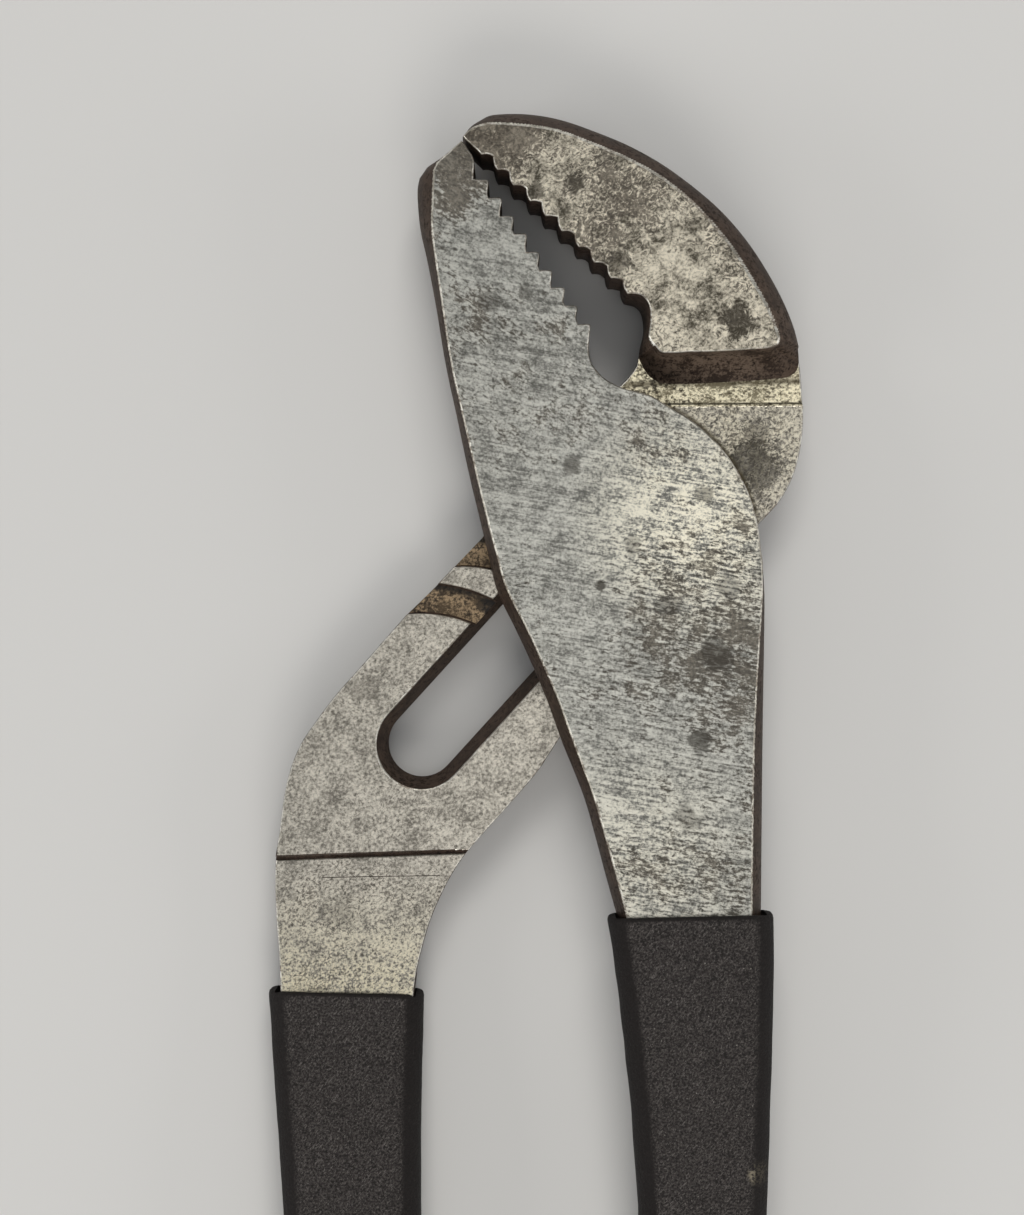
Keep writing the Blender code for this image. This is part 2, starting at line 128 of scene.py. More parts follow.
def inset(points, by):
    """Move a closed outline inwards, with mitred corners."""
    area = sum(a[0] * b[1] - b[0] * a[1] for a, b in zip(points, points[1:] + points[:1]))
    turn = 1 if area > 0 else -1
    out = []
    for i, p in enumerate(points):
        a = Vector(p[:2]) - Vector(points[i - 1][:2])
        b = Vector(points[(i + 1) % len(points)][:2]) - Vector(p[:2])
        a.normalize()
        b.normalize()
        na, nb = Vector((-a.y, a.x)) * turn, Vector((-b.y, b.x)) * turn
        mid = na + nb
        if mid.length < 1e-6:
            mid = na
        mid.normalize()
        reach = by / max(mid.dot(na), 0.6)
        out.append((p[0] + mid.x * reach, p[1] + mid.y * reach))
    return unloop(out) if by < 0.6 else out


def mix(points, others, share):
    return [toward(a, b, share) for a, b in zip(points, others)]


def worn(points, amount, seed, scale=0.9):
    """Give an outline the slight waviness and nicks of a worn edge."""
    out = []
    for i, p in enumerate(points):
        a, b = points[i - 1], points[(i + 1) % len(points)]
        d = Vector((b[0] - a[0], b[1] - a[1]))
        if d.length < 1e-9:
            out.append(p)
            continue
        d.normalize()
        v = noise.noise(Vector((p[0] * scale, p[1] * scale, seed)))
        v += 0.5 * noise.noise(Vector((p[0] * scale * 3, p[1] * scale * 3, seed + 7)))
        w = v * amount
        out.append((p[0] - d.y * w, p[1] + d.x * w) + tuple(p[2:]))
    return out


def teeth(count, first, step, shape, skip, seed, off, grown):
    """A row of cut teeth, each a little off its place and size; the end ones are cut short.

    The first leaves out skip of the shape's points, and the last keeps six.
    """
    random.seed(seed)
    out = []
    for i in range(count):
        jx, jy, grow = random.uniform(-off, off), random.uniform(-off, off), random.uniform(*grown)
        part = shape[skip:] if i == 0 else shape if i < count - 1 else shape[:6]
        out += [(first[0] + step[0] * i + jx + x * grow, first[1] + step[1] * i + jy + y * grow)
                for x, y in part]
    return out


def flat(points, z):
    return [(p[0], p[1], z) for p in points]


# ======== mesh helpers
def loft(name, loops):
    """A closed mesh through rings with the same number of points, first to last."""
    bm = bmesh.new()
    rings = [[bm.verts.new(Vector(p) * MM) for p in loop] for loop in loops]
    n = len(rings[0])
    for low, high in zip(rings, rings[1:]):
        for i in range(n):
            j = (i + 1) % n
            bm.faces.new((low[i], low[j], high[j], high[i]))
    bmesh.ops.triangulate(bm, faces=bm.faces[:])
    bm.faces.new(rings[0][::-1])
    bm.faces.new(rings[-1])
    bmesh.ops.recalc_face_normals(bm, faces=bm.faces[:])
    if bm.calc_volume(signed=True) < 0:
        bmesh.ops.reverse_faces(bm, faces=bm.faces[:])
    mesh = bpy.data.meshes.new(name)
    bm.to_mesh(mesh)
    bm.free()
    obj = bpy.data.objects.new(name, mesh)
    bpy.context.scene.collection.objects.link(obj)
    return obj


def turned(name, rows, sides=64):
    """A turned shape on the pivot axis, from rows of radius and height."""
    return loft(name, [[(r * math.cos(2 * math.pi * k / sides),
                         r * math.sin(2 * math.pi * k / sides), z) for k in range(sides)]
                       for r, z in rows])


def apply_boolean(obj, other, kind):
    """Join or cut with another object, which is used up."""
    m = obj.modifiers.new(kind, "BOOLEAN")
    m.operation, m.object, m.solver = kind, other, "EXACT"
    bpy.context.view_layer.update()
    graph = bpy.context.evaluated_depsgraph_get()
    mesh = bpy.data.meshes.new_from_object(obj.evaluated_get(graph))
    obj.modifiers.clear()
    obj.data = mesh
    used = other.data
    bpy.data.objects.remove(other, do_unlink=True)
    bpy.data.meshes.remove(used)


def cut(obj, other):
    apply_boolean(obj, other, "DIFFERENCE")


def join(obj, other):
    apply_boolean(obj, other, "UNION")


def finish_shading(obj, angle=34):
    """Smooth shading, sharp where faces meet at more than the angle, flats kept flat."""
    mesh = obj.data
    mesh.shade_smooth()
    mesh.set_sharp_from_angle(angle=math.radians(angle))
    weighted = obj.modifiers.new("weighted", "WEIGHTED_NORMAL")
    weighted.keep_sharp = True
    weighted.weight = 60


def between(table, y, column):
    """A column of a table of rows that go down in y, blended between its rows."""
    if y >= table[0][0]:
        return table[0][column]
    for upper, lower in zip(table, table[1:]):
        if y >= lower[0]:
            t = (upper[0] - y) / (upper[0] - lower[0])
            t = t * t * (3 - 2 * t) * 0.35 + t * 0.65
            return upper[column] + (lower[column] - upper[column]) * t
    return table[-1][column]


def rounded(cx, cz, w, h, r, y, parts=6, sides=1):
    """A rounded rectangle across a handle, its straight sides split too."""
    r = min(r, w / 2 - 0.05, h / 2 - 0.05)
    corners = [arc((cx + sx * (w / 2 - r), cz + sz * (h / 2 - r)), r, start, start + 90, parts)
               for sx, sz, start in ((1, 1, 0), (-1, 1, 90), (-1, -1, 180), (1, -1, 270))]
    out = []
    for i, corner in enumerate(corners):
        out += corner
        nxt = corners[(i + 1) % 4][0]
        n = sides if i % 2 == 0 else max(1, sides // 2)
        a = corner[-1]
        out += [(a[0] + (nxt[0] - a[0]) * k / n, a[1] + (nxt[1] - a[1]) * k / n)
                for k in range(1, n)]
    return [(x, y, z) for x, z in out]


# ======== slotted jaw member
SLOTTED_TOOTH = [(-0.62, 1.90), (-0.60, 1.46), (-0.52, 1.05), (-0.42, 0.68), (-0.24, 0.33),
                 (0.0, 0.0), (0.42, 0.03), (0.84, 0.02), (1.26, -0.08)]
SLOTTED_TIP = [(-18.05, 58.55), (-17.5, 58.05), (-16.9, 57.5), (-16.3, 56.95)]
slotted_teeth = SLOTTED_TIP + teeth(10, (-15.9, 56.5), (2.29, -2.18), SLOTTED_TOOTH, 5, 11, 0.07,
                                    (0.92, 1.06))

JAW_BACK = spline([
    (-18.45, 59.1, -18.6, 59.4), (-17.4, 60.1, -17.7, 61.3), (-15.6, 60.8, -16.2, 62.5),
    (-13.0, 60.9, -14.2, 63.4), (-7.7, 60.4, -9.4, 63.5), (-4.2, 59.6, -4.6, 62.7),
    (0.0, 58.0, 0.4, 61.0), (4.4, 56.1, 5.2, 59.0), (8.7, 53.8, 9.9, 56.4),
    (13.0, 50.6, 14.6, 53.0), (16.5, 47.0, 18.6, 49.5), (19.4, 43.4, 22.0, 45.6),
    (22.0, 39.3, 24.9, 41.3), (24.2, 35.4, 27.3, 36.9), (25.5, 32.4, 28.9, 33.0),
    (26.05, 30.7, 29.65, 30.1)], 6)
JAW_CORNER = spline([(26.05, 30.7, 29.65, 30.1), (25.9, 29.8, 29.75, 28.0),
                     (25.2, 29.35, 29.3, 26.6), (24.2, 29.2, 28.0, 25.8)], 5)
JAW_WALL = spline([(24.2, 29.2, 28.0, 25.8), (21.3, 29.0, 23.5, 25.4), (17.3, 28.75, 18.0, 25.1),
                   (13.0, 28.65, 13.2, 24.9), (10.4, 28.5, 9.8, 25.1), (9.4, 28.7, 7.9, 26.4),
                   (8.5, 29.6, 6.7, 28.6)], 5)
JAW_THROAT = spline([
    (8.5, 29.6, 6.7, 28.6), (7.7, 30.9, 6.95, 30.3), (7.85, 32.2, 7.35, 31.9),
    (7.95, 33.6, 7.45, 33.4), (7.85, 35.0, 7.3, 34.9), (7.3, 36.1, 6.9, 35.9),
    (6.5, 36.75, 6.2, 36.5), (5.5, 36.9, 5.4, 36.7)], 4)
# rows: face x, y, low x, y, wall share (1 along the wall that stands on the limb), seam (1 where
# the low edge is also the edge of the body underneath)
jaw_rows = [r + (0.0, 1.0) for r in JAW_BACK]
jaw_rows += [r + (min(1.0, k / 6), 0.0) for k, r in enumerate(JAW_CORNER) if k]
jaw_rows += [r + (1.0, 0.0) for r in JAW_WALL[1:-1]]
jaw_rows += [r + (0.0, 1.0) for r in JAW_THROAT]
jaw_rows += [(x, y, x, y, 0.0, 1.0) for x, y in slotted_teeth[::-1]]


def split_rows(rows, step):
    """Add rows between rows; one between a seam row and another belongs to neither."""
    out = []
    for a, b in zip(rows, rows[1:] + rows[:1]):
        n = max(1, math.ceil(math.dist(a[2:4], b[2:4]) / step))
        for k in range(n):
            row = tuple(p + (q - p) * k / n for p, q in zip(a, b))
            seam = a[5] if k == 0 else min(a[5], b[5])
            out.append(row[:5] + (seam,))
    return out


jaw_rows = split_rows(jaw_rows, 0.8)
jaw_face = worn([(r[0], r[1]) for r in jaw_rows], 0.05, 3)
jaw_mid = [(r[2], r[3]) for r in jaw_rows]
jaw_wall_share = [r[4] for r in jaw_rows]


def jaw_at(z):
    """The jaw block's outline at a height: swelling outside, a concave fillet at the wall."""
    swell = (max(z - JOINT_Z, 0) / (FACE_Z - JOINT_Z)) ** 1.5
    fillet = 1 - (1 - max(z - STEP_Z, 0) / (FACE_Z - STEP_Z)) ** 3.2
    return [toward(a, b, swell * (1 - k) + fillet * k)
            for a, b, k in zip(jaw_mid, jaw_face, jaw_wall_share)]


jaw_block = loft("jaw_block", [flat(jaw_at(z), z) for z in (
    STEP_Z, 7.3, 7.6, 8.0, 8.6, 9.4, 10.3, 11.3, 12.3, 13.2, 14.0)]
    + [flat(inset(jaw_at(14.3), 0.02), 14.30), flat(inset(jaw_face, 0.10), 14.42),
       flat(inset(jaw_face, 0.20), FACE_Z)])

# the limb from the throat down to the handle, on its left and on its right
BENDS = [(4.0, 24.6), (-14.0, 4.7), (-22.6, -4.3), (-26.6, -8.2), (-30.2, -12.3)]
limb_left = []
for a, b in zip(BENDS, BENDS[1:]):
    limb_left += [a] + line(a, b, 1.1)
limb_left += spline([
    (-30.2, -12.3), (-33.8, -16.4), (-37.0, -20.0), (-39.7, -23.6), (-41.9, -26.9),
    (-43.4, -30.5), (-44.3, -34.3), (-45.0, -39.7), (-45.6, -43.5), (-45.7, -47.7),
    (-45.5, -52.4), (-45.1, -58.1), (-44.9, -64.0), (-44.8, -67.0)], 4)
limb_right = spline([
    (-25.9, -67.0), (-25.8, -64.0), (-25.3, -59.9), (-24.5, -56.5), (-23.4, -52.7),
    (-22.0, -49.3), (-20.2, -45.8), (-17.9, -42.4), (-15.4, -39.5), (-11.8, -35.5),
    (-8.1, -31.2), (-6.2, -28.4), (-4.6, -25.9)], 4)
limb_right += line(limb_right[-1], (22.9, 3.6), 1.01)
limb_right += spline([(22.9, 3.6), (25.2, 6.0), (27.1, 8.2), (28.8, 11.4), (29.8, 14.8),
                      (30.3, 18.8), (30.3, 22.9), (30.1, 25.9)], 4)


def with_row_at(points, y):
    """Put a point exactly where a line of points first crosses a height y."""
    out = [points[0]]
    done = False
    for a, b in zip(points, points[1:]):
        if not done and (a[1] - y) * (b[1] - y) < 0:
            t = (y - a[1]) / (b[1] - a[1])
            level = (a[0] + (b[0] - a[0]) * t, y)
            if math.dist(a, level) < 0.25:
                out.pop()
            out.append(level)
            done = True
            if math.dist(b, level) < 0.25:
                continue
        out.append(b)
    return out


PAD_TOP_LEFT, PAD_TOP_RIGHT, PAD_END_LEFT, PAD_END_RIGHT = 21.5, 21.75, -43.15, -42.2
limb_left = with_row_at(with_row_at(limb_left, PAD_TOP_LEFT), PAD_END_LEFT)
limb_right = with_row_at(with_row_at(limb_right, PAD_END_RIGHT), PAD_TOP_RIGHT)
throat_start = next(i for i, r in enumerate(jaw_rows) if abs(r[2] - 6.7) < 1e-6
                    and abs(r[3] - 28.6) < 1e-6)
corner_end = next(i for i, r in enumerate(jaw_rows) if r[5] == 0.0)
# from the right corner over the back, tip and teeth to the throat, the jaw's own low edge
back_over = [(r[2], r[3]) for r in jaw_rows[:corner_end]][::-1]
teeth_down = [(r[2], r[3]) for r in jaw_rows[throat_start:]][::-1]
body_rows = [(x, y, "jaw") for x, y in back_over + teeth_down]
body_rows += [(x, y, "open") for x, y in ((6.35, 27.5), (5.8, 26.6), (5.0, 25.6))]
body_rows += [(x, y, "pad" if PAD_END_LEFT <= y <= PAD_TOP_LEFT else "open")
              for x, y in limb_left]
body_rows += [(-44.8 + 18.9 * k / 16, -67.0, "open") for k in range(1, 16)]
body_rows += [(x, y, "pad" if PAD_END_RIGHT <= y <= PAD_TOP_RIGHT else "open")
              for x, y in limb_right]
body_rows += [(x, y, "open") for x, y in ((30.0, 27.0), (29.87, 28.0), (29.75, 29.1))]
body_mid = [r[:2] for r in body_rows]
body_soft = inset(body_mid, 1.0)


def body_ring(share, z):
    """The body's outline pulled in by a share that depends on which edge it is."""
    return [(*toward((x, y), soft, share(x, y, kind)), z)
            for (x, y, kind), soft in zip(body_rows, body_soft)]


def back_draft(x, y, kind):
    """Forging draft: strong round the jaw's outer curve, light elsewhere."""
    if y < -60:
        return 0.0
    if kind != "jaw":
        return 0.5
    beyond_teeth = (y - 59.3) + 0.95 * (x + 18.5)
    return 0.2 + 1.9 * min(1.0, max(0.0, (beyond_teeth - 1.5) / 3.5))


def open_only(amount):
    return lambda x, y, kind: amount if kind == "open" else 0.0


slotted = loft("slotted_member", [
    body_ring(lambda *r: back_draft(*r) + 0.24, BACK_Z),
    body_ring(lambda *r: back_draft(*r) + 0.08, BACK_Z + 0.1),
    body_ring(back_draft, BACK_Z + 0.35),
    body_ring(lambda *r: back_draft(*r) * 0.5, 3.6),
    body_ring(lambda *r: back_draft(*r) * 0.12, 5.6),
    body_ring(open_only(0.02), 6.75), body_ring(open_only(0.09), 7.0),
    body_ring(open_only(0.24), STEP_Z)])

pads = [r[:2] for r in body_rows if r[2] == "pad"]
gap = max(range(1, len(pads)), key=lambda i: math.dist(pads[i], pads[i - 1]))
pad_left, pad_right = pads[:gap], pads[gap:]
pad_outline = (pad_left + line(pad_left[-1], pad_right[0]) + pad_right
               + line(pad_right[-1], pad_left[0]))
pad = loft("pad", [flat(pad_outline, STEP_Z), flat(inset(pad_outline, 0.02), 7.7),
                   flat(inset(worn(pad_outline, 0.02, 5), 0.07), 7.92),
                   flat(inset(worn(pad_outline, 0.05, 5), 0.22), JOINT_Z)])
join(slotted, jaw_block)
join(slotted, pad)

# the finished sleeves: y, centre x, width, centre z, thickness
SLOTTED_GRIP = [
    (-62.6, -35.6, 22.7, 4.10, 8.2), (-69.5, -35.45, 22.1, 4.15, 8.3),
    (-76.5, -35.3, 21.4, 4.55, 9.1), (-84.0, -35.0, 20.6, 5.05, 10.1),
    (-95.0, -34.6, 19.8, 5.4, 10.8), (-112.0, -34.2, 19.2, 5.5, 11.0),
    (-132.0, -34.2, 19.0, 5.5, 11.0), (-158.0, -35.3, 19.2, 5.5, 11.0),
    (-176.0, -36.6, 19.2, 5.5, 11.0), (-182.0, -37.1, 18.0, 5.4, 10.4),
    (-186.0, -37.5, 14.6, 5.2, 8.4), (-188.0, -37.7, 8.4, 5.0, 5.0)]
FRONT_GRIP = [
    (-50.6, 13.75, 23.7, 11.4, 9.2), (-57.5, 14.3, 22.8, 11.4, 9.2),
    (-64.3, 14.7, 21.8, 11.1, 9.3), (-70.7, 15.0, 21.0, 10.6, 9.5),
    (-80.0, 15.4, 19.7, 9.6, 9.9), (-94.0, 15.75, 18.4, 8.2, 10.4),
    (-112.0, 16.2, 18.4, 6.7, 10.8), (-132.0, 16.9, 18.6, 5.7, 11.0),
    (-158.0, 18.3, 18.8, 5.5, 11.0), (-176.0, 19.6, 18.8, 5.5, 11.0),
    (-182.0, 20.05, 17.6, 5.4, 10.4), (-186.0, 20.4, 14.2, 5.2, 8.4),
    (-188.0, 20.6, 8.2, 5.0, 5.0)]


def section(table, y, side, face, lift, radius, parts, narrow=1.0):
    """A handle's section at y, inside its sleeve's by side at its sides and face at its faces."""
    return rounded(between(table, y, 1), between(table, y, 3) + lift,
                   (between(table, y, 2) - 2 * side) * narrow, between(table, y, 4) - 2 * face,
                   radius, y, parts)


def shank(name, table, top, side, face, lift=0.0):
    """The steel handle inside a sleeve, narrower towards its end."""
    ys = [top + (SHANK_END - top) * k / 40 for k in range(41)]
    return loft(name, [section(table, y, side, face, lift, 1.2, 3,
                               min(1, (y - SHANK_END + 3) / 5)) for y in ys])


join(slotted, shank("shank_a", SLOTTED_GRIP, -65.2, 1.45, 1.4, 0.2))


def stadium(radius, z, parts=22, straight_parts=24):
    """A long round-ended ring about the slot."""
    lean = math.degrees(math.atan2(PITCH[1], PITCH[0]))
    top = arc((0, 0), radius, lean - 90, lean + 90, parts)
    low = arc(SLOT_LOW, radius, lean + 90, lean + 270, parts)
    step = math.hypot(*SLOT_LOW) / straight_parts
    return flat(top + line(top[-1], low[0], step) + low + line(low[-1], top[0], step), z)


cut(slotted, loft("slot_cut", [stadium(r, z) for r, z in (
    (4.7, 3.1), (4.9, 3.5), (6.3, 7.55), (6.42, 7.82), (6.5, 7.93), (6.68, 8.02), (7.3, 8.5))]))
cut(slotted, loft("channel_cut", [stadium(r, z) for r, z in (
    (8.6, 1.0), (8.4, 1.55), (8.25, 1.8), (8.25, CHANNEL_Z))]))


def sector_ring(centre, r0, r1, a0, a1, parts=26):
    """The outline of a piece of a ring, between two radii and two angles."""
    return arc(centre, r1, a0, a1, parts) + arc(centre, r0, a1, a0, parts)


for k, c in enumerate(GROOVE_CENTRES):
    cut(slotted, loft(f"groove_{k}", [
        flat(sector_ring(c, GROOVE_IN - wider, GROOVE_OUT + wider,
                         GROOVE_FROM - longer, GROOVE_TO + longer), z)
        for wider, longer, z in (
            (-0.25, -0.6, GROOVE_Z), (-0.05, -0.1, GROOVE_Z + 0.2), (0.0, 0.0, 7.84),
            (0.06, 0.2, 7.94), (0.16, 0.5, 8.02), (0.5, 1.5, 8.4))]))

# the undercut foot of the step, and a fine old scratch across the handle below it
foot = [(-47.0, -43.20), (-16.0, -42.07), (-16.0, -42.72), (-47.0, -43.90)]
cut(slotted, loft("foot", [flat(inset(foot, 0.12), STEP_Z - 0.22),
                           flat(foot, STEP_Z + 0.1)]))
scratch = [(-38.9, -46.25), (-30.0, -46.05), (-21.9, -45.95)]
ring = [(x, y + 0.07) for x, y in scratch] + [(x, y - 0.07) for x, y in scratch[::-1]]
cut(slotted, loft("scratch", [flat(inset(ring, 0.05), STEP_Z - 0.12),
                              flat(ring, STEP_Z + 0.05)]))

# ======== front jaw member
FRONT_TOOTH = [(-1.86, 0.24), (-1.3, 0.27), (-0.62, 0.30), (-0.22, 0.22), (-0.02, 0.0),
               (-0.02, -0.45), (-0.12, -1.0), (-0.22, -1.65)]
FRONT_TIP = [(-18.65, 58.5), (-18.2, 58.0), (-17.75, 57.3), (-17.2, 56.5), (-16.85, 55.6),
             (-16.88, 54.7), (-16.95, 53.9), (-17.0, 53.1)]
front_teeth = FRONT_TIP + teeth(9, (-14.8, 52.7), (1.79, -2.53), FRONT_TOOTH, 1, 5, 0.06,
                                (0.93, 1.05))

THROAT_TOP = spline([(-0.5, 31.7), (-0.62, 30.6), (-0.72, 29.4), (-0.62, 28.2),
                     (-0.28, 27.0)], 4)
THROAT_LOW = spline([(-0.28, 27.0), (0.75, 25.65), (2.0, 24.65), (3.2, 24.0), (4.4, 23.5),
                     (6.7, 22.95), (8.2, 22.45), (9.4, 21.7)], 4)
DISC = arc((0, 0), 23.5, 64, 5, 40)
RIGHT = spline([(23.8, -1.0, 24.2, -1.0), (23.8, -5.5, 24.6, -5.5), (23.4, -12.0, 24.6, -12.0),
                (23.0, -18.5, 24.5, -18.5), (22.7, -25.0, 24.4, -25.0),
                (22.5, -33.5, 24.3, -33.5), (22.3, -50.6, 24.15, -50.6),
                (22.3, -56.5, 24.1, -56.5)], 5)
LEFT_SHANK = spline([(5.8, -56.5, 4.6, -56.5), (4.6, -51.0, 3.45, -51.4),
                     (3.2, -45.5, 1.9, -45.8), (1.6, -39.7, 0.35, -40.0),
                     (0.2, -34.9, -1.0, -35.2), (-1.2, -30.8, -2.5, -31.2),
                     (-3.0, -26.1, -4.4, -26.5), (-5.0, -20.5, -6.4, -20.9),
                     (-7.1, -15.6, -8.5, -15.9), (-9.6, -10.1, -11.0, -10.5),
                     (-12.3, -4.8, -13.6, -5.1), (-13.7, 0.0, -14.9, 0.1),
                     (-15.2, 5.6, -16.3, 5.9), (-16.8, 12.2, -17.85, 12.4),
                     (-18.7, 20.5, -19.6, 20.7)], 5)
LEFT_JAW = spline([(-18.7, 20.5, -19.6, 20.7), (-20.2, 27.3, -21.1, 27.7),
                   (-21.4, 35.2, -22.4, 35.6), (-22.4, 42.0, -23.7, 42.4),
                   (-22.9, 46.5, -24.7, 47.0), (-22.75, 51.5, -25.1, 52.0),
                   (-22.6, 54.4, -24.8, 54.2)], 5)
LEFT_JAW.append((-22.1, 55.45, -23.9, 55.5))


def same(points):
    return [(x, y, x, y) for x, y in points]


# rows: face x, y, low x, y, seam (1 where the low edge is also the lower half's)
front_rows = [r + (1.0,) for r in same(front_teeth) + same(THROAT_TOP)]
front_rows += [r + (0.0,) for r in same(THROAT_LOW[1:]) + same(DISC) + RIGHT + LEFT_SHANK[:-1]]
front_rows += [r + (1.0,) for r in LEFT_JAW]
front_rows = [r for i, r in enumerate(front_rows)
              if math.dist(r[:2], front_rows[i - 1][:2]) > 0.03]
front_rows = [t[:4] + (1.0 if t[4] > 0.999 else 0.0,) for t in dense(front_rows, 0.8)]
front_face = worn([(r[0], r[1]) for r in front_rows], 0.04, 9)
front_low = [(r[2], r[3]) for r in front_rows]
front_soft = inset(front_low, 1.0)


def front_low_ring(amount, z):
    """The low outline pulled in by an amount, except along the seam."""
    return [(*toward(low, soft, amount * (1 - r[4])), z)
            for low, soft, r in zip(front_low, front_soft, front_rows)]


UNDER_Z = JOINT_Z + RUN_GAP
front = loft("front_member", [
    front_low_ring(0.25, UNDER_Z), front_low_ring(0.06, 8.42),
    *(flat(mix(front_low, front_face, share), z) for share, z in (
        (0.0, 8.7), (0.12, 10.0), (0.4, 11.8), (0.75, 13.2), (0.95, 14.1))),
    *(flat(inset(front_face, by), z) for by, z in (
        (0.02, 14.27), (0.11, 14.40), (0.23, FACE_Z)))])

seam_on = [r for r in front_rows if r[4] == 1.0]
turn = next(i for i, r in enumerate(seam_on) if r[0] < -19 and r[1] < 30)
right_side, left_side = seam_on[:turn], seam_on[turn:]
bridge = [(x, y, x, y, 0.0) for x, y in line(right_side[-1][2:4], left_side[0][2:4])]
lower_rows = right_side + bridge + left_side
lower_face, lower_low = [r[:2] for r in lower_rows], [r[2:4] for r in lower_rows]
lower_half = loft("lower_half", [
    flat(inset(lower_face, 0.24), BACK_Z), flat(inset(lower_face, 0.08), BACK_Z + 0.1),
    *(flat(mix(lower_low, lower_face, share), z) for share, z in (
        (0.95, BACK_Z + 0.4), (0.75, 2.8), (0.4, 4.2), (0.12, 6.0), (0.0, 7.6),
        (0.0, UNDER_Z)))])
join(front, lower_half)
join(front, shank("shank_b", FRONT_GRIP, -53.5, 1.5, 1.6))
relief = sector_ring((0, 0), 16.6, 27.5, 58, 112)
cut(front, loft("relief", [flat(relief, 7.5), flat(relief, 9.5)]))
join(front, loft("tongue", [
    flat(sector_ring((0, 0), 19.15, 22.95, 68.3, 95.7), 8.12),
    flat(sector_ring((0, 0), 18.95, 23.15, 68, 96), 8.3),
    flat(sector_ring((0, 0), 18.95, 23.15, 68, 96), 10.5)]))
cut(front, turned("stud_hole", [(5.0, 8.0), (4.75, 8.6), (4.75, 12.0)]))

# ======== pivot hardware
stud = turned("stud", [(2.55, 0.0), (2.8, 0.1), (2.95, 0.35), (2.95, 3.5), (4.4, 3.56),
                       (4.58, 3.75), (4.58, 11.6), (4.4, 11.79)])

NUT_APOTHEM, NUT_CORNER, NUT_TURN = 5.5, 6.3, 12
nut_rings = []
for scale, z in ((0.90, 0.0), (0.955, 0.12), (1.0, 0.42), (1.0, 1.85), (0.975, 2.0)):
    # the hexagon, its corners rounded by a cone towards either face
    limit = NUT_CORNER * scale if scale < 1 else NUT_CORNER - 0.02
    ring = []
    for k in range(96):
        a = 2 * math.pi * k / 96
        r = min(NUT_APOTHEM / math.cos((a % (math.pi / 3)) - math.pi / 6), limit)
        b = a + math.radians(NUT_TURN)
        ring.append((r * math.cos(b), r * math.sin(b), z))
    nut_rings.append(ring)
nut = loft("nut", nut_rings)
cut(nut, turned("nut_bore", [(3.6, -0.2), (3.18, 0.35), (3.18, 1.75), (3.5, 2.2)]))
washer = turned("washer", [(7.8, 2.16), (7.93, 2.3), (7.93, 3.22), (7.8, 3.34)], 72)
cut(washer, turned("washer_bore", [(3.2, 1.8), (3.2, 3.8)]))


# ======== sleeves
def mouth_line(name, x):
    """The slightly slanting line of a sleeve's open end."""
    if name == "front_sleeve":
        return -51.15 + (x - 1.9) / 23.7 * 0.55
    return -62.6 - (x + 46.9) / 22.7 * 0.5


ROUND_FROM, ROUND_LENGTH, ROUND_POWER = -176, 12.35, 2.4
FINE_FROM = -180                      # closer rings from here to the end
CORNER = 3.7


def end_share(y):
    """How much of its full width a sleeve has left near its rounded end."""
    if y > ROUND_FROM:
        return 1.0
    return (1 - ((ROUND_FROM - y) / ROUND_LENGTH) ** ROUND_POWER) ** (1 / ROUND_POWER)


def sleeve(name, table, top, side, face, lift=0.0):
    """A foam sleeve: rounded outside with low lumps, hollow for the shank it covers.

    side and face are the foam's thickness at the sides and over the faces; lift moves the hollow
    up from the middle.
    """
    outer_y = [top, top - 0.25, top - 0.7]
    y = top - 1.5
    while y > FINE_FROM:
        outer_y.append(y)
        y -= 0.9
    outer_y += [FINE_FROM - 0.5 * k for k in range(15)] + [-187.4, -187.7, -187.9, -188.0]
    out = []
    for i, y in enumerate(outer_y):
        shrink = (0.32, 0.1, 0.0)[i] if i < 3 else 0.0
        full = max(y, ROUND_FROM)
        cx, cz = between(table, y, 1), between(table, y, 3)
        ring = []
        for x, _, z in rounded(cx, cz, between(table, full, 2) * end_share(y) - 2 * shrink,
                               between(table, full, 4) * end_share(y) - 2 * shrink, CORNER, y,
                               7, 22):
            # lean the mouth to its own line, and sink the surface a little in low lumps
            pull = max(0.0, 1 - (top - y) / 6.0)
            yy = y + (mouth_line(name, x) - top) * pull
            yy += 0.1 * pull * noise.noise(Vector((x * 0.5, z * 0.5, 4)))
            broad = noise.noise(Vector((x * 0.22, y * 0.22, z * 0.22))) * 0.5 + 0.5
            fine = noise.noise(Vector((x * 1.1, y * 1.1, z * 1.1))) * 0.5 + 0.5
            sink = 0.10 * broad + 0.05 * fine
            d = Vector((x - cx, z - cz))
            n = d.normalized() if d.length > 0.1 else Vector((0, 0))
            ring.append((x - n.x * sink, yy, z - n.y * sink))
        out.append(ring)
    skin = loft(name, out)
    inner = [section(table, y, side, face, lift, 0.5, 2)
             for y in [top + 3.0, top - 1] + [top - 6 * k for k in range(1, 21)] + [-182.0]]
    y, last = -185.0, -182.0
    inner.append(rounded(between(table, y, 1), between(table, last, 3) + lift,
                         (between(table, last, 2) - 3) * 0.66, between(table, last, 4) - 3.2,
                         0.5, y, 2))
    cut(skin, loft(name + "_hollow", inner))
    return skin


front_sleeve = sleeve("front_sleeve", FRONT_GRIP, -50.6, 1.15, 1.35)
slotted_sleeve = sleeve("slotted_sleeve", SLOTTED_GRIP, -62.6, 1.15, 1.15, 0.2)


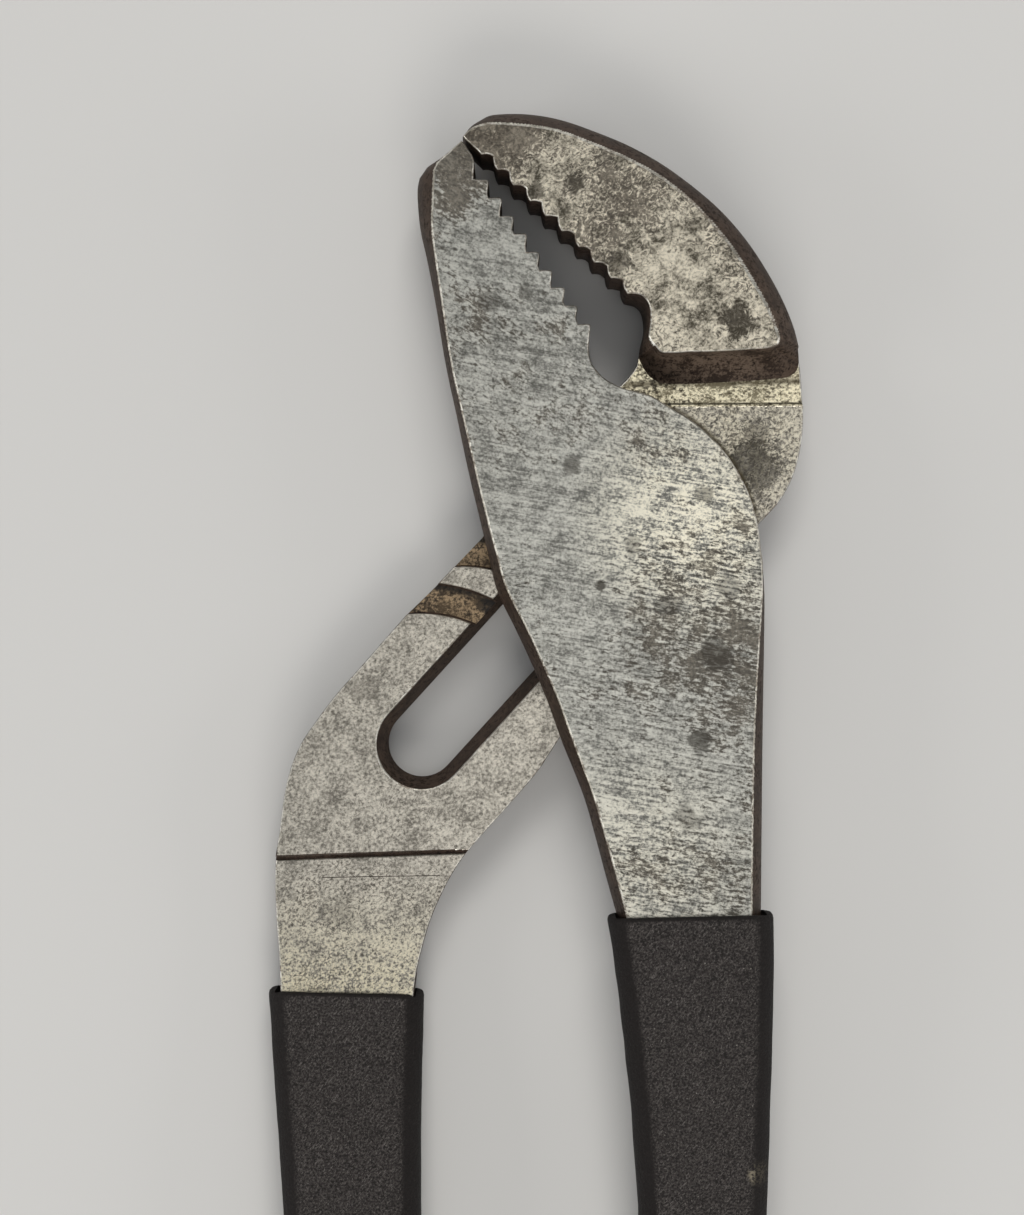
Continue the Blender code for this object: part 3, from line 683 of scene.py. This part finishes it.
# ======== materials
class Nodes:
    """Small helper to wire a material's nodes."""

    def __init__(self, name):
        self.material = bpy.data.materials.new(name)
        self.material.use_nodes = True
        self.tree = self.material.node_tree
        self.shader = self.tree.nodes["Principled BSDF"]
        coord = self.tree.nodes.new("ShaderNodeTexCoord")
        scale = self.tree.nodes.new("ShaderNodeVectorMath")
        scale.operation = "SCALE"
        scale.inputs["Scale"].default_value = 1000.0
        self.tree.links.new(coord.outputs["Object"], scale.inputs[0])
        self.mm = scale.outputs[0]
        split = self.tree.nodes.new("ShaderNodeSeparateXYZ")
        self.link(self.mm, split.inputs[0])
        self.x, self.y, self.z = split.outputs

    def link(self, a, b):
        self.tree.links.new(a, b)

    def feed(self, socket, value):
        """Set a socket to a colour or a number, or link it."""
        if isinstance(value, tuple):
            socket.default_value = (*value, 1)
        elif isinstance(value, (int, float)):
            socket.default_value = value
        else:
            self.link(value, socket)

    def stretched(self, scale, angle=0.0):
        """Coordinates turned so that x runs along the angle, then scaled."""
        turn = self.tree.nodes.new("ShaderNodeVectorRotate")
        turn.rotation_type = "Z_AXIS"
        turn.inputs["Angle"].default_value = math.radians(-angle)
        self.link(self.mm, turn.inputs["Vector"])
        m = self.tree.nodes.new("ShaderNodeVectorMath")
        m.operation = "MULTIPLY"
        self.link(turn.outputs[0], m.inputs[0])
        m.inputs[1].default_value = scale
        return m.outputs[0]

    def noise(self, scale, detail=3.0, rough=0.55, source=None, distortion=0.0):
        n = self.tree.nodes.new("ShaderNodeTexNoise")
        for key, v in (("Scale", scale), ("Detail", detail), ("Roughness", rough),
                       ("Distortion", distortion), ("Vector", source or self.mm)):
            self.feed(n.inputs[key], v)
        return n.outputs["Fac"]

    def voronoi(self, scale):
        n = self.tree.nodes.new("ShaderNodeTexVoronoi")
        n.inputs["Scale"].default_value = scale
        self.link(self.mm, n.inputs["Vector"])
        return n.outputs["Distance"]

    def ramp(self, value, low, high, a=0.0, b=1.0):
        n = self.tree.nodes.new("ShaderNodeMapRange")
        n.interpolation_type = "SMOOTHSTEP"
        for key, v in (("From Min", low), ("From Max", high), ("To Min", a), ("To Max", b),
                       ("Value", value)):
            self.feed(n.inputs[key], v)
        return n.outputs[0]

    def math(self, kind, a, b=None):
        n = self.tree.nodes.new("ShaderNodeMath")
        n.operation = kind
        self.feed(n.inputs[0], a)
        if b is not None:
            self.feed(n.inputs[1], b)
        return n.outputs[0]

    def total(self, *pairs):
        """Sum of value x weight."""
        out = None
        for value, weight in pairs:
            term = self.math("MULTIPLY", value, weight)
            out = term if out is None else self.math("ADD", out, term)
        return out

    def blend(self, fac, a, b):
        n = self.tree.nodes.new("ShaderNodeMix")
        n.data_type = "RGBA"
        for i, v in ((0, fac), (6, a), (7, b)):      # the factor and the two colour sockets
            self.feed(n.inputs[i], v)
        return n.outputs[2]

    def distance(self, x, y):
        """How far a point is from a place on the part, seen from above."""
        dx, dy = self.math("SUBTRACT", self.x, x), self.math("SUBTRACT", self.y, y)
        return self.math("SQRT", self.math("ADD", self.math("MULTIPLY", dx, dx),
                                           self.math("MULTIPLY", dy, dy)))

    def spot(self, x, y, radius, soft=0.5):
        """A round patch about a place on the part: 1 inside, 0 outside."""
        return self.ramp(self.distance(x, y), radius * (1 + soft), radius * (1 - soft))

    def rule(self, x, y, slope, half, soft):
        """A line across the part: 1 on it, 0 away from it."""
        run = self.math("MULTIPLY", self.math("SUBTRACT", self.x, x), slope)
        off = self.math("ABSOLUTE", self.math("SUBTRACT", self.math("SUBTRACT", self.y, y), run))
        return self.ramp(off, half + soft, max(half - soft, 0.0))

    def ring(self, x, y, radius, half, soft):
        """A ring about a place: 1 on it, 0 away from it."""
        off = self.math("ABSOLUTE", self.math("SUBTRACT", self.distance(x, y), radius))
        return self.ramp(off, half + soft, max(half - soft, 0.0))

    def bump(self, height, strength, distance):
        n = self.tree.nodes.new("ShaderNodeBump")
        n.inputs["Strength"].default_value = strength
        n.inputs["Distance"].default_value = distance * MM
        self.link(height, n.inputs["Height"])
        self.link(n.outputs[0], self.shader.inputs["Normal"])

    def out(self, colour, rough, metallic):
        for name, v in (("Base Color", colour), ("Roughness", rough), ("Metallic", metallic)):
            self.feed(self.shader.inputs[name], v)
        return self.material


def steel(name, light, mid, dark, fleck=(1.0, (1, 1, 1), 0), cover=0.0, stains=(), patches=(),
          scratch=(0.3, 0.0), grit=0.4, gain=0.8, tint=None, lines=(), rings=(),
          rough=(0.32, 0.62), metal=(1.0, 0.35), bump=0.3, sides=(), upper=None, cut=0.85,
          weights=(0.8, 0.45), grain=2.6, swirl=0.6, reach=0.14, lift=2.4, gloss=0.5):
    """Worn bare steel: broken dark flecks over mottled grey, stains, scratches and grit.

    light, mid and dark are the clean, dull and tarnished colours. fleck is (scale, stretch, angle)
    of the flecks, upper their (stretch, angle) above the pivot, and swirl how much they curl.
    cover moves how much is tarnished, gain how far that varies, and cut how strongly it shows;
    lift lightens part of the tarnish. stains are ragged dark marks (x, y, radius, strength),
    patches move the cover about a place, and sides move it along an axis from low to high.
    scratch is (strength, angle). weights are the shares of cloud and flecks, grit that of the
    fine grain with scale grain, and reach the width of the step from mid to light. tint is
    (colour, list of masks) laid over the light parts; a mask is ("y", from, to) or
    ("spot", x, y, radius, strength). lines are (x, y, slope, half width,
    softness, strength, colour); rings are (x, y, radius, half width, softness, strength, colour,
    angle, span), seen only within span of the place at that angle. rough and metal are for clean
    and tarnished; gloss is the specular level.
    """
    n = Nodes(name)
    scale, stretch, angle = fleck
    flecks = n.noise(scale, 5.0, 0.66, n.stretched(stretch, angle), swirl)
    if upper:
        other = n.noise(scale, 5.0, 0.66, n.stretched(*upper), 0.6)
        share = n.ramp(n.y, -2, 30)
        flecks = n.math("ADD", flecks, n.math("MULTIPLY", n.math("SUBTRACT", other, flecks),
                                              share))
    broad = n.noise(0.085, 3.0, 0.6)
    cloud = n.noise(0.33, 5.0, 0.62)
    fine = n.noise(grain, 3.0, 0.7)
    streak = n.noise(1.0, 3.0, 0.6, n.stretched((0.10, 3.4, 1), scratch[1]))
    spread = n.total((broad, 0.5), (cloud, 0.5))
    for x, y, r, k in patches:
        spread = n.math("ADD", spread, n.math("MULTIPLY", n.spot(x, y, r, 0.8), k))
    for source, low, high, k in sides:
        axis = n.x if source == "x" else n.y
        spread = n.math("ADD", spread, n.ramp(axis, low, high, 0.0, k))
    level = n.total((n.math("SUBTRACT", spread, 0.5 - cover), gain), (flecks, -1.0),
                    (n.math("SUBTRACT", fine, 0.5), -0.4))
    tarnish = n.ramp(level, -0.51, -0.30)
    shade = n.total((cloud, weights[0]), (flecks, weights[1]), (fine, grit),
                    (streak, scratch[0]))
    middle = (sum(weights) + grit + scratch[0]) / 2
    body = n.blend(n.ramp(shade, middle - reach, middle + reach), mid, light)
    if tint:
        tone, masks = tint
        mask = None
        for kind, *m in masks:
            if kind == "y":
                v = n.ramp(n.y, *m)
            else:
                v = n.math("MULTIPLY", n.spot(*m[:3], 0.8), m[3])
            mask = v if mask is None else n.math("MAXIMUM", mask, v)
        body = n.blend(n.math("MULTIPLY", mask, n.ramp(shade, middle - 0.12, middle + 0.1)),
                       body, tone)
    dirt = n.blend(n.ramp(n.total((fine, 0.5), (flecks, 0.5)), 0.40, 0.60), dark,
                   tuple(v * lift for v in dark))
    colour = n.blend(n.math("MULTIPLY", tarnish, cut), body, dirt)
    deep = tuple(v * 0.62 for v in dark)
    ragged = n.ramp(n.total((cloud, 0.5), (fine, 0.5)), 0.36, 0.54, 0.35, 1.0)
    for x, y, r, k in stains:
        off = n.total((n.distance(x, y), 1.0), (n.math("SUBTRACT", cloud, 0.5), 2.6 * r),
                      (n.math("SUBTRACT", flecks, 0.5), 1.6 * r))
        mask = n.math("MULTIPLY", n.ramp(off, 1.25 * r, 0.75 * r), k)
        colour = n.blend(n.math("MULTIPLY", mask, ragged), colour, deep)
    marks = [(n.rule(x, y, slope, half, soft), k, tone)
             for x, y, slope, half, soft, k, tone in lines]
    for x, y, r, half, soft, k, tone, aim, span in rings:
        near = n.spot(x + r * math.cos(math.radians(aim)), y + r * math.sin(math.radians(aim)),
                      span, 0.2)
        marks.append((n.math("MULTIPLY", n.ring(x, y, r, half, soft), near), k, tone))
    # the marks are painted shade along lines and rings, the pad's ring also grime; they are on the
    # front only
    for mask, k, tone in marks:
        uneven = n.math("MULTIPLY", n.ramp(cloud, 0.3, 0.55, k * 0.6, k), n.ramp(n.z, 4.0, 5.0))
        colour = n.blend(n.math("MULTIPLY", mask, uneven), colour, tone)
    n.bump(n.total((flecks, 0.5), (fine, 0.45), (streak, scratch[0])), bump, 0.07)
    n.shader.inputs["Specular IOR Level"].default_value = gloss
    return n.out(colour, n.ramp(tarnish, 0, 1, *rough), n.ramp(tarnish, 0, 1, *metal))


DARK = (0.050, 0.041, 0.029)
front_mat = steel(
    "front_ground", (0.60, 0.588, 0.527), (0.138, 0.135, 0.120), DARK,
    fleck=(1.25, (0.55, 1.7, 1.0), -10), upper=((0.6, 1.5, 1.0), -32), cover=-0.045, gain=1.25,
    scratch=(0.42, -10), grit=0.6, weights=(0.5, 0.6), reach=0.20,
    stains=[(17.2, -14.2, 2.3, 0.75), (14.8, -26.0, 1.6, 0.8), (10.6, -7.0, 1.5, 0.55),
            (0.9, -4.3, 0.8, 0.85), (-3.0, 12.5, 1.3, 0.6), (5.6, 1.5, 1.3, 0.4),
            (15.5, 8.6, 1.3, 0.55), (13.2, -37.0, 2.0, 0.4), (19.0, -4.5, 1.7, 0.5),
            (-15.5, 36.2, 1.8, 0.5), (-10.0, 37.0, 1.1, 0.5)],
    patches=[(-13.6, 43.5, 5.0, -0.22), (-15.0, 35.5, 4.0, 0.13), (1.0, 6.0, 7.0, -0.08),
             (4.5, -33.0, 8.0, -0.10), (17.0, -13.0, 8.0, 0.07), (-19.5, 55.5, 8.0, 0.22),
             (16.0, 9.0, 5.0, -0.03), (10.0, -8.0, 6.0, 0.08), (-10.5, 4.0, 6.0, -0.08),
             (8.0, -40.0, 12.0, 0.035), (-17.0, 25.0, 6.0, 0.05), (18.5, 1.0, 4.0, 0.08)],
    sides=[("x", -4, 16, 0.07), ("y", 15, 58, 0.04)],
    tint=((0.92, 0.86, 0.69), [("spot", 15, 5, 12, 0.95), ("spot", 6, -44, 12, 0.45)]))
jaw_mat = steel(
    "jaw_ground", (0.77, 0.70, 0.56), (0.076, 0.067, 0.050), (0.043, 0.034, 0.024),
    fleck=(0.85, (1.0, 1.15, 1.0), 30), cover=-0.01, scratch=(0.10, 20), grit=0.6, cut=0.8,
    gain=1.3, weights=(1.1, 0.8), swirl=2.2, reach=0.25,
    stains=[(20.0, 33.2, 2.5, 0.9), (-2.7, 52.5, 1.3, 0.85), (3.8, 41.3, 1.7, 0.6),
            (-8.0, 51.3, 1.2, 0.6), (1.5, 55.5, 1.3, 0.5), (15.0, 44.0, 1.2, 0.35)],
    patches=[(-13.5, 59.5, 6.5, 0.30), (5.0, 54.5, 6.0, 0.13), (16.0, 35.5, 6.5, -0.04),
             (-9.0, 54.5, 3.5, -0.14), (3.0, 46.0, 4.5, 0.08), (23.0, 42.0, 5.0, 0.08),
             (11.5, 40.5, 4.0, -0.10)])
# a painted shadow under each groove's upper wall: a dark band along its outer arc
groove_painted_shadow = [(*c, 22.9, 0.62, 0.35, 0.92, (0.010, 0.007, 0.005), 80, 8.5)
                for c in GROOVE_CENTRES]
slotted_mat = steel(
    "slotted_satin", (0.68, 0.632, 0.540), (0.165, 0.151, 0.127), DARK,
    fleck=(1.5, (1.0, 1.25, 1.0), 35), cover=-0.10, scratch=(0.15, 20), grit=0.95, cut=0.7,
    weights=(0.6, 0.65), grain=2.1, reach=0.25, swirl=1.6,
    stains=[(22.5, 13.5, 4.0, 0.8), (23.5, 17.5, 2.0, 0.5), (-33.5, -19.0, 2.2, 0.3),
            (-36.0, -51.0, 2.5, 0.25), (-8.5, -17.5, 2.0, 0.35)],
    patches=[(-38.0, -18.0, 6.0, 0.05), (-36.0, -62.0, 6.0, 0.08), (-8.0, -20.0, 4.0, 0.10),
             (-26.0, -38.0, 8.0, -0.03), (21.0, 15.0, 9.0, 0.22), (-34.0, -50.0, 6.0, 0.04)],
    sides=[("y", -43, -47, 0.075)],
    tint=((0.76, 0.69, 0.50), [("y", -44, -68), ("spot", 20, 16, 12, 0.5)]),
    # painted shadow at the foot of the step, a dark line across the handle
    lines=[(-45.4, -43.5, 0.036, 0.38, 0.16, 0.96, (0.012, 0.009, 0.006)),
           # painted shade along the foot of the pad's upper edge
           (0.0, 21.95, 0.005, 0.14, 0.10, 0.85, (0.02, 0.016, 0.01))],
    # grime along the disc's edge, with the front member's painted shadow in it
    rings=[(0.0, 0.0, 24.1, 0.55, 0.35, 0.85, (0.050, 0.038, 0.018), 42, 13.0)])
strip_mat = steel(
    "strip_satin", (0.95, 0.86, 0.62), (0.22, 0.19, 0.125), (0.06, 0.045, 0.028),
    fleck=(1.6, (0.8, 1.3, 1.0), 0), cover=-0.01, grit=1.0, scratch=(0.2, 2), cut=0.75,
    # painted shade along the foot of the pad's upper edge
    lines=[(0.0, 21.95, 0.005, 0.16, 0.10, 0.9, (0.02, 0.016, 0.01)),
           # painted shade along the foot of the jaw wall
           (14.0, 25.0, 0.02, 0.35, 0.5, 0.8, (0.05, 0.037, 0.02))])
forged_mat = steel(
    "forged_sides", (0.066, 0.043, 0.030), (0.034, 0.022, 0.0155), (0.013, 0.0085, 0.006),
    fleck=(1.2, (1, 1, 1), 0), grit=0.6, rough=(0.58, 0.75), metal=(0.12, 0.0), bump=0.45,
    # the spot is painted light on the jaw wall that faces the strip
    gloss=0.15, tint=((0.165, 0.12, 0.088), [("spot", 17, 27, 9, 1.0)]))
# the chamfers: worn bare metal, their near-white colour also a painted highlight
edge_wear_and_highlight_mat = steel(
    "worn_edges_and_painted_highlight", (0.90, 0.87, 0.78), (0.42, 0.39, 0.33), (0.12, 0.092, 0.065),
    fleck=(0.9, (1, 1, 1), 0), cover=0.015, gain=1.4, rough=(0.42, 0.55), bump=0.15)
# the groove floor: real golden-brown grime, with the painted shadow bands laid on it
grime_and_shadow_mat = steel(
    "groove_grime_and_painted_shadow", (0.40, 0.285, 0.165), (0.105, 0.070, 0.037), (0.020, 0.013, 0.008),
    fleck=(1.6, (1, 1, 1), 0), cover=0.035, gain=1.2, grit=0.9, rough=(0.5, 0.8), metal=(0.35, 0.1),
    stains=[(-14.6, -7.4, 1.5, 1.0)], bump=0.7, rings=groove_painted_shadow)
fastener_mat = steel(
    "fastener", (0.42, 0.40, 0.37), (0.22, 0.205, 0.185), (0.05, 0.042, 0.034),
    fleck=(1.4, (1, 1, 1), 0), rough=(0.34, 0.6))


def foam():
    """Black foam rubber: grain, pale fibres and specks, painted side shade and one old scuff."""
    n = Nodes("black_foam")
    grain = n.noise(3.3, 5.0, 0.72)
    hair = n.noise(1.5, 3.0, 0.6, n.stretched((0.9, 4.5, 1.5), 55), 1.6)
    pores = n.voronoi(2.2)
    flecks = n.math("MULTIPLY", n.ramp(n.voronoi(1.0), 0.12, 0.06),
                    n.ramp(n.noise(0.3, 2.0, 0.5), 0.54, 0.64))
    colour = n.blend(n.ramp(grain, 0.41, 0.62), (0.0105, 0.0085, 0.0078), (0.058, 0.050, 0.046))
    fibres = n.math("MULTIPLY", n.ramp(hair, 0.55, 0.64), n.ramp(grain, 0.38, 0.55))
    colour = n.blend(n.math("MULTIPLY", fibres, 0.7), colour, (0.190, 0.172, 0.160))
    colour = n.blend(n.math("MULTIPLY", flecks, 0.75), colour, (0.30, 0.28, 0.25))
    scuff = n.math("MULTIPLY", n.spot(23.6, -87.4, 1.5, 0.5),
                   n.ramp(n.noise(1.9, 4.0, 0.75), 0.45, 0.56))
    scuff = n.math("MULTIPLY", scuff, n.ramp(n.z, 10.0, 13.0))
    colour = n.blend(scuff, colour, (0.46, 0.40, 0.29))
    # the rounded sides are darkened by their normal: painted shade where less light falls
    facing = n.tree.nodes.new("ShaderNodeNewGeometry")
    up = n.tree.nodes.new("ShaderNodeSeparateXYZ")
    n.link(facing.outputs["Normal"], up.inputs[0])
    side = n.ramp(n.math("ABSOLUTE", up.outputs["Z"]), 1.0, 0.89, 0.0, 0.9)
    colour = n.blend(side, colour, (0.0085, 0.0062, 0.0055))
    n.bump(n.total((grain, 0.9), (pores, 0.6), (n.noise(0.5, 2.0, 0.5), 0.4)), 0.75, 0.30)
    n.shader.inputs["Specular IOR Level"].default_value = 0.3
    return n.out(colour, 0.86, 0.0)


foam_mat = foam()


# a face whose normal has at least this z is flat, and one with at least the other is a bevel
FLAT_NZ, BEVEL_NZ = 0.985, 0.3
TOP_FROM = 14                         # faces higher than this belong to a ground face
TOP, SIDE, EDGE, GROOVE_FLOOR, STRIP, JAW = range(6)


def clothe(obj, top, kinds):
    """Give each face the finish of where it is: face, edge, forged side or groove floor."""
    mesh = obj.data
    mesh.materials.clear()
    for m in (top, forged_mat, edge_wear_and_highlight_mat, grime_and_shadow_mat, strip_mat, jaw_mat):
        mesh.materials.append(m)
    for poly in mesh.polygons:
        poly.material_index = kinds(poly.center * 1000, poly.normal.z)


def front_kind(c, nz):
    if abs(nz) > FLAT_NZ:
        return TOP if c.z > TOP_FROM or c.z < 1.8 else SIDE
    return EDGE if nz > BEVEL_NZ and c.z > 14.2 else SIDE


def slotted_kind(c, nz):
    if nz > FLAT_NZ:
        if c.z > TOP_FROM:
            return JAW
        if abs(c.z - JOINT_Z) < 0.06:
            return TOP
        if abs(c.z - STEP_Z) < 0.06:
            return STRIP if c.y > 20 else TOP
        return GROOVE_FLOOR if 6.0 < c.z < 6.5 else SIDE
    if nz < -FLAT_NZ:
        return TOP if c.z < 2 else SIDE
    if nz <= BEVEL_NZ:
        return SIDE
    if c.z > 14.2:
        return EDGE
    if 7.8 < c.z < 8.05 and c.y < 21.3:          # round the pad, but not at the step's foot
        return SIDE if c.y < -41.5 and abs(c.y + 42.7) < 0.6 else EDGE
    if 6.9 < c.z < 7.1 and not -42 < c.y < 20:   # round the handle and the strip
        return EDGE
    return TOP if 7.8 < c.z < 8.05 and c.y < 22.2 else SIDE


clothe(front, front_mat, front_kind)
clothe(slotted, slotted_mat, slotted_kind)
for obj, material in ((stud, fastener_mat), (nut, fastener_mat), (washer, fastener_mat),
                      (front_sleeve, foam_mat), (slotted_sleeve, foam_mat)):
    obj.data.materials.clear()
    obj.data.materials.append(material)
for obj in (front, slotted, stud, nut, washer):
    finish_shading(obj)
for obj in (front_sleeve, slotted_sleeve):
    finish_shading(obj, 50)

# ======== onto the frame
for obj, node, body, slot_name in (
        (front, "front_jaw_member", "front", "ground_steel"),
        (slotted, "slotted_jaw_member", "slotted", "satin_steel"),
        (stud, "pivot_stud", "front", "fastener_steel"),
        (nut, "pivot_nut", "front", "fastener_steel"),
        (washer, "thrust_washer", "slider", "fastener_steel"),
        (front_sleeve, "front_grip", "front", "foam_rubber"),
        (slotted_sleeve, "slotted_grip", "slotted", "foam_rubber")):
    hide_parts(node)
    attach(obj, body)

# ======== floor, light, camera
bpy.ops.mesh.primitive_plane_add(size=4.0, location=(0, 0, 0))
floor = bpy.context.object
floor.name = "floor"
paper = bpy.data.materials.new("pale_floor")
paper.use_nodes = True
paper_shader = paper.node_tree.nodes["Principled BSDF"]
paper_shader.inputs["Base Color"].default_value = (0.66, 0.65, 0.63, 1)
paper_shader.inputs["Roughness"].default_value = 0.9
paper_shader.inputs["Specular IOR Level"].default_value = 0.2
floor.data.materials.append(paper)


def area_light(name, location, size, energy, colour=(1, 1, 1)):
    """A soft light aimed at the pivot: metres and watts."""
    data = bpy.data.lights.new(name, "AREA")
    data.shape = "RECTANGLE"
    data.size, data.size_y = size
    data.energy = energy
    data.color = colour
    lamp = bpy.data.objects.new(name, data)
    lamp.location = location
    lamp.rotation_euler = (-Vector(location)).to_track_quat("-Z", "Y").to_euler()
    bpy.context.scene.collection.objects.link(lamp)


area_light("key", (0.03, 0.80, 0.80), (0.60, 0.30), 5.0, (1.0, 0.985, 0.955))
area_light("overhead", (0.10, -0.06, 1.10), (0.70, 0.50), 0.9, (1.0, 0.99, 0.97))
area_light("left", (-0.80, -0.20, 0.30), (0.50, 0.30), 1.8)
area_light("right", (0.85, -0.10, 0.30), (0.50, 0.30), 1.3)
area_light("front", (0.05, -0.75, 0.60), (0.60, 0.30), 3.0, (1.0, 0.97, 0.93))
world = bpy.data.worlds.new("studio")
bpy.context.scene.world = world
world.use_nodes = True
sky = world.node_tree
sky_background = sky.nodes["Background"]
sky_background.inputs["Color"].default_value = (0.93, 0.96, 1.0, 1)
sky_coord = sky.nodes.new("ShaderNodeTexCoord")
sky_split = sky.nodes.new("ShaderNodeSeparateXYZ")
sky_range = sky.nodes.new("ShaderNodeMapRange")
for key, v in (("From Min", 0.0), ("From Max", 1.0), ("To Min", 0.20), ("To Max", 0.36)):
    sky_range.inputs[key].default_value = v
sky.links.new(sky_coord.outputs["Generated"], sky_split.inputs[0])
sky.links.new(sky_split.outputs["Z"], sky_range.inputs["Value"])
sky.links.new(sky_range.outputs[0], sky_background.inputs["Strength"])

CAMERA_OVER = (-11.55, -7.32)
CAMERA_HEIGHT = 320.0                 # above the ground front face
VIEW_TALL = 1215 / 7.1                # millimetres of the front face in view, top to bottom
SENSOR = 24.0
camera_data = bpy.data.cameras.new("camera")
camera_data.sensor_fit = "VERTICAL"
camera_data.sensor_height = SENSOR
camera_data.lens = SENSOR * CAMERA_HEIGHT / VIEW_TALL
camera_data.clip_start = 0.01
camera = bpy.data.objects.new("camera", camera_data)
camera.location = Vector((*CAMERA_OVER, FACE_Z + CAMERA_HEIGHT)) * MM
bpy.context.scene.collection.objects.link(camera)
bpy.context.scene.camera = camera
bpy.context.scene.view_settings.view_transform = "Standard"
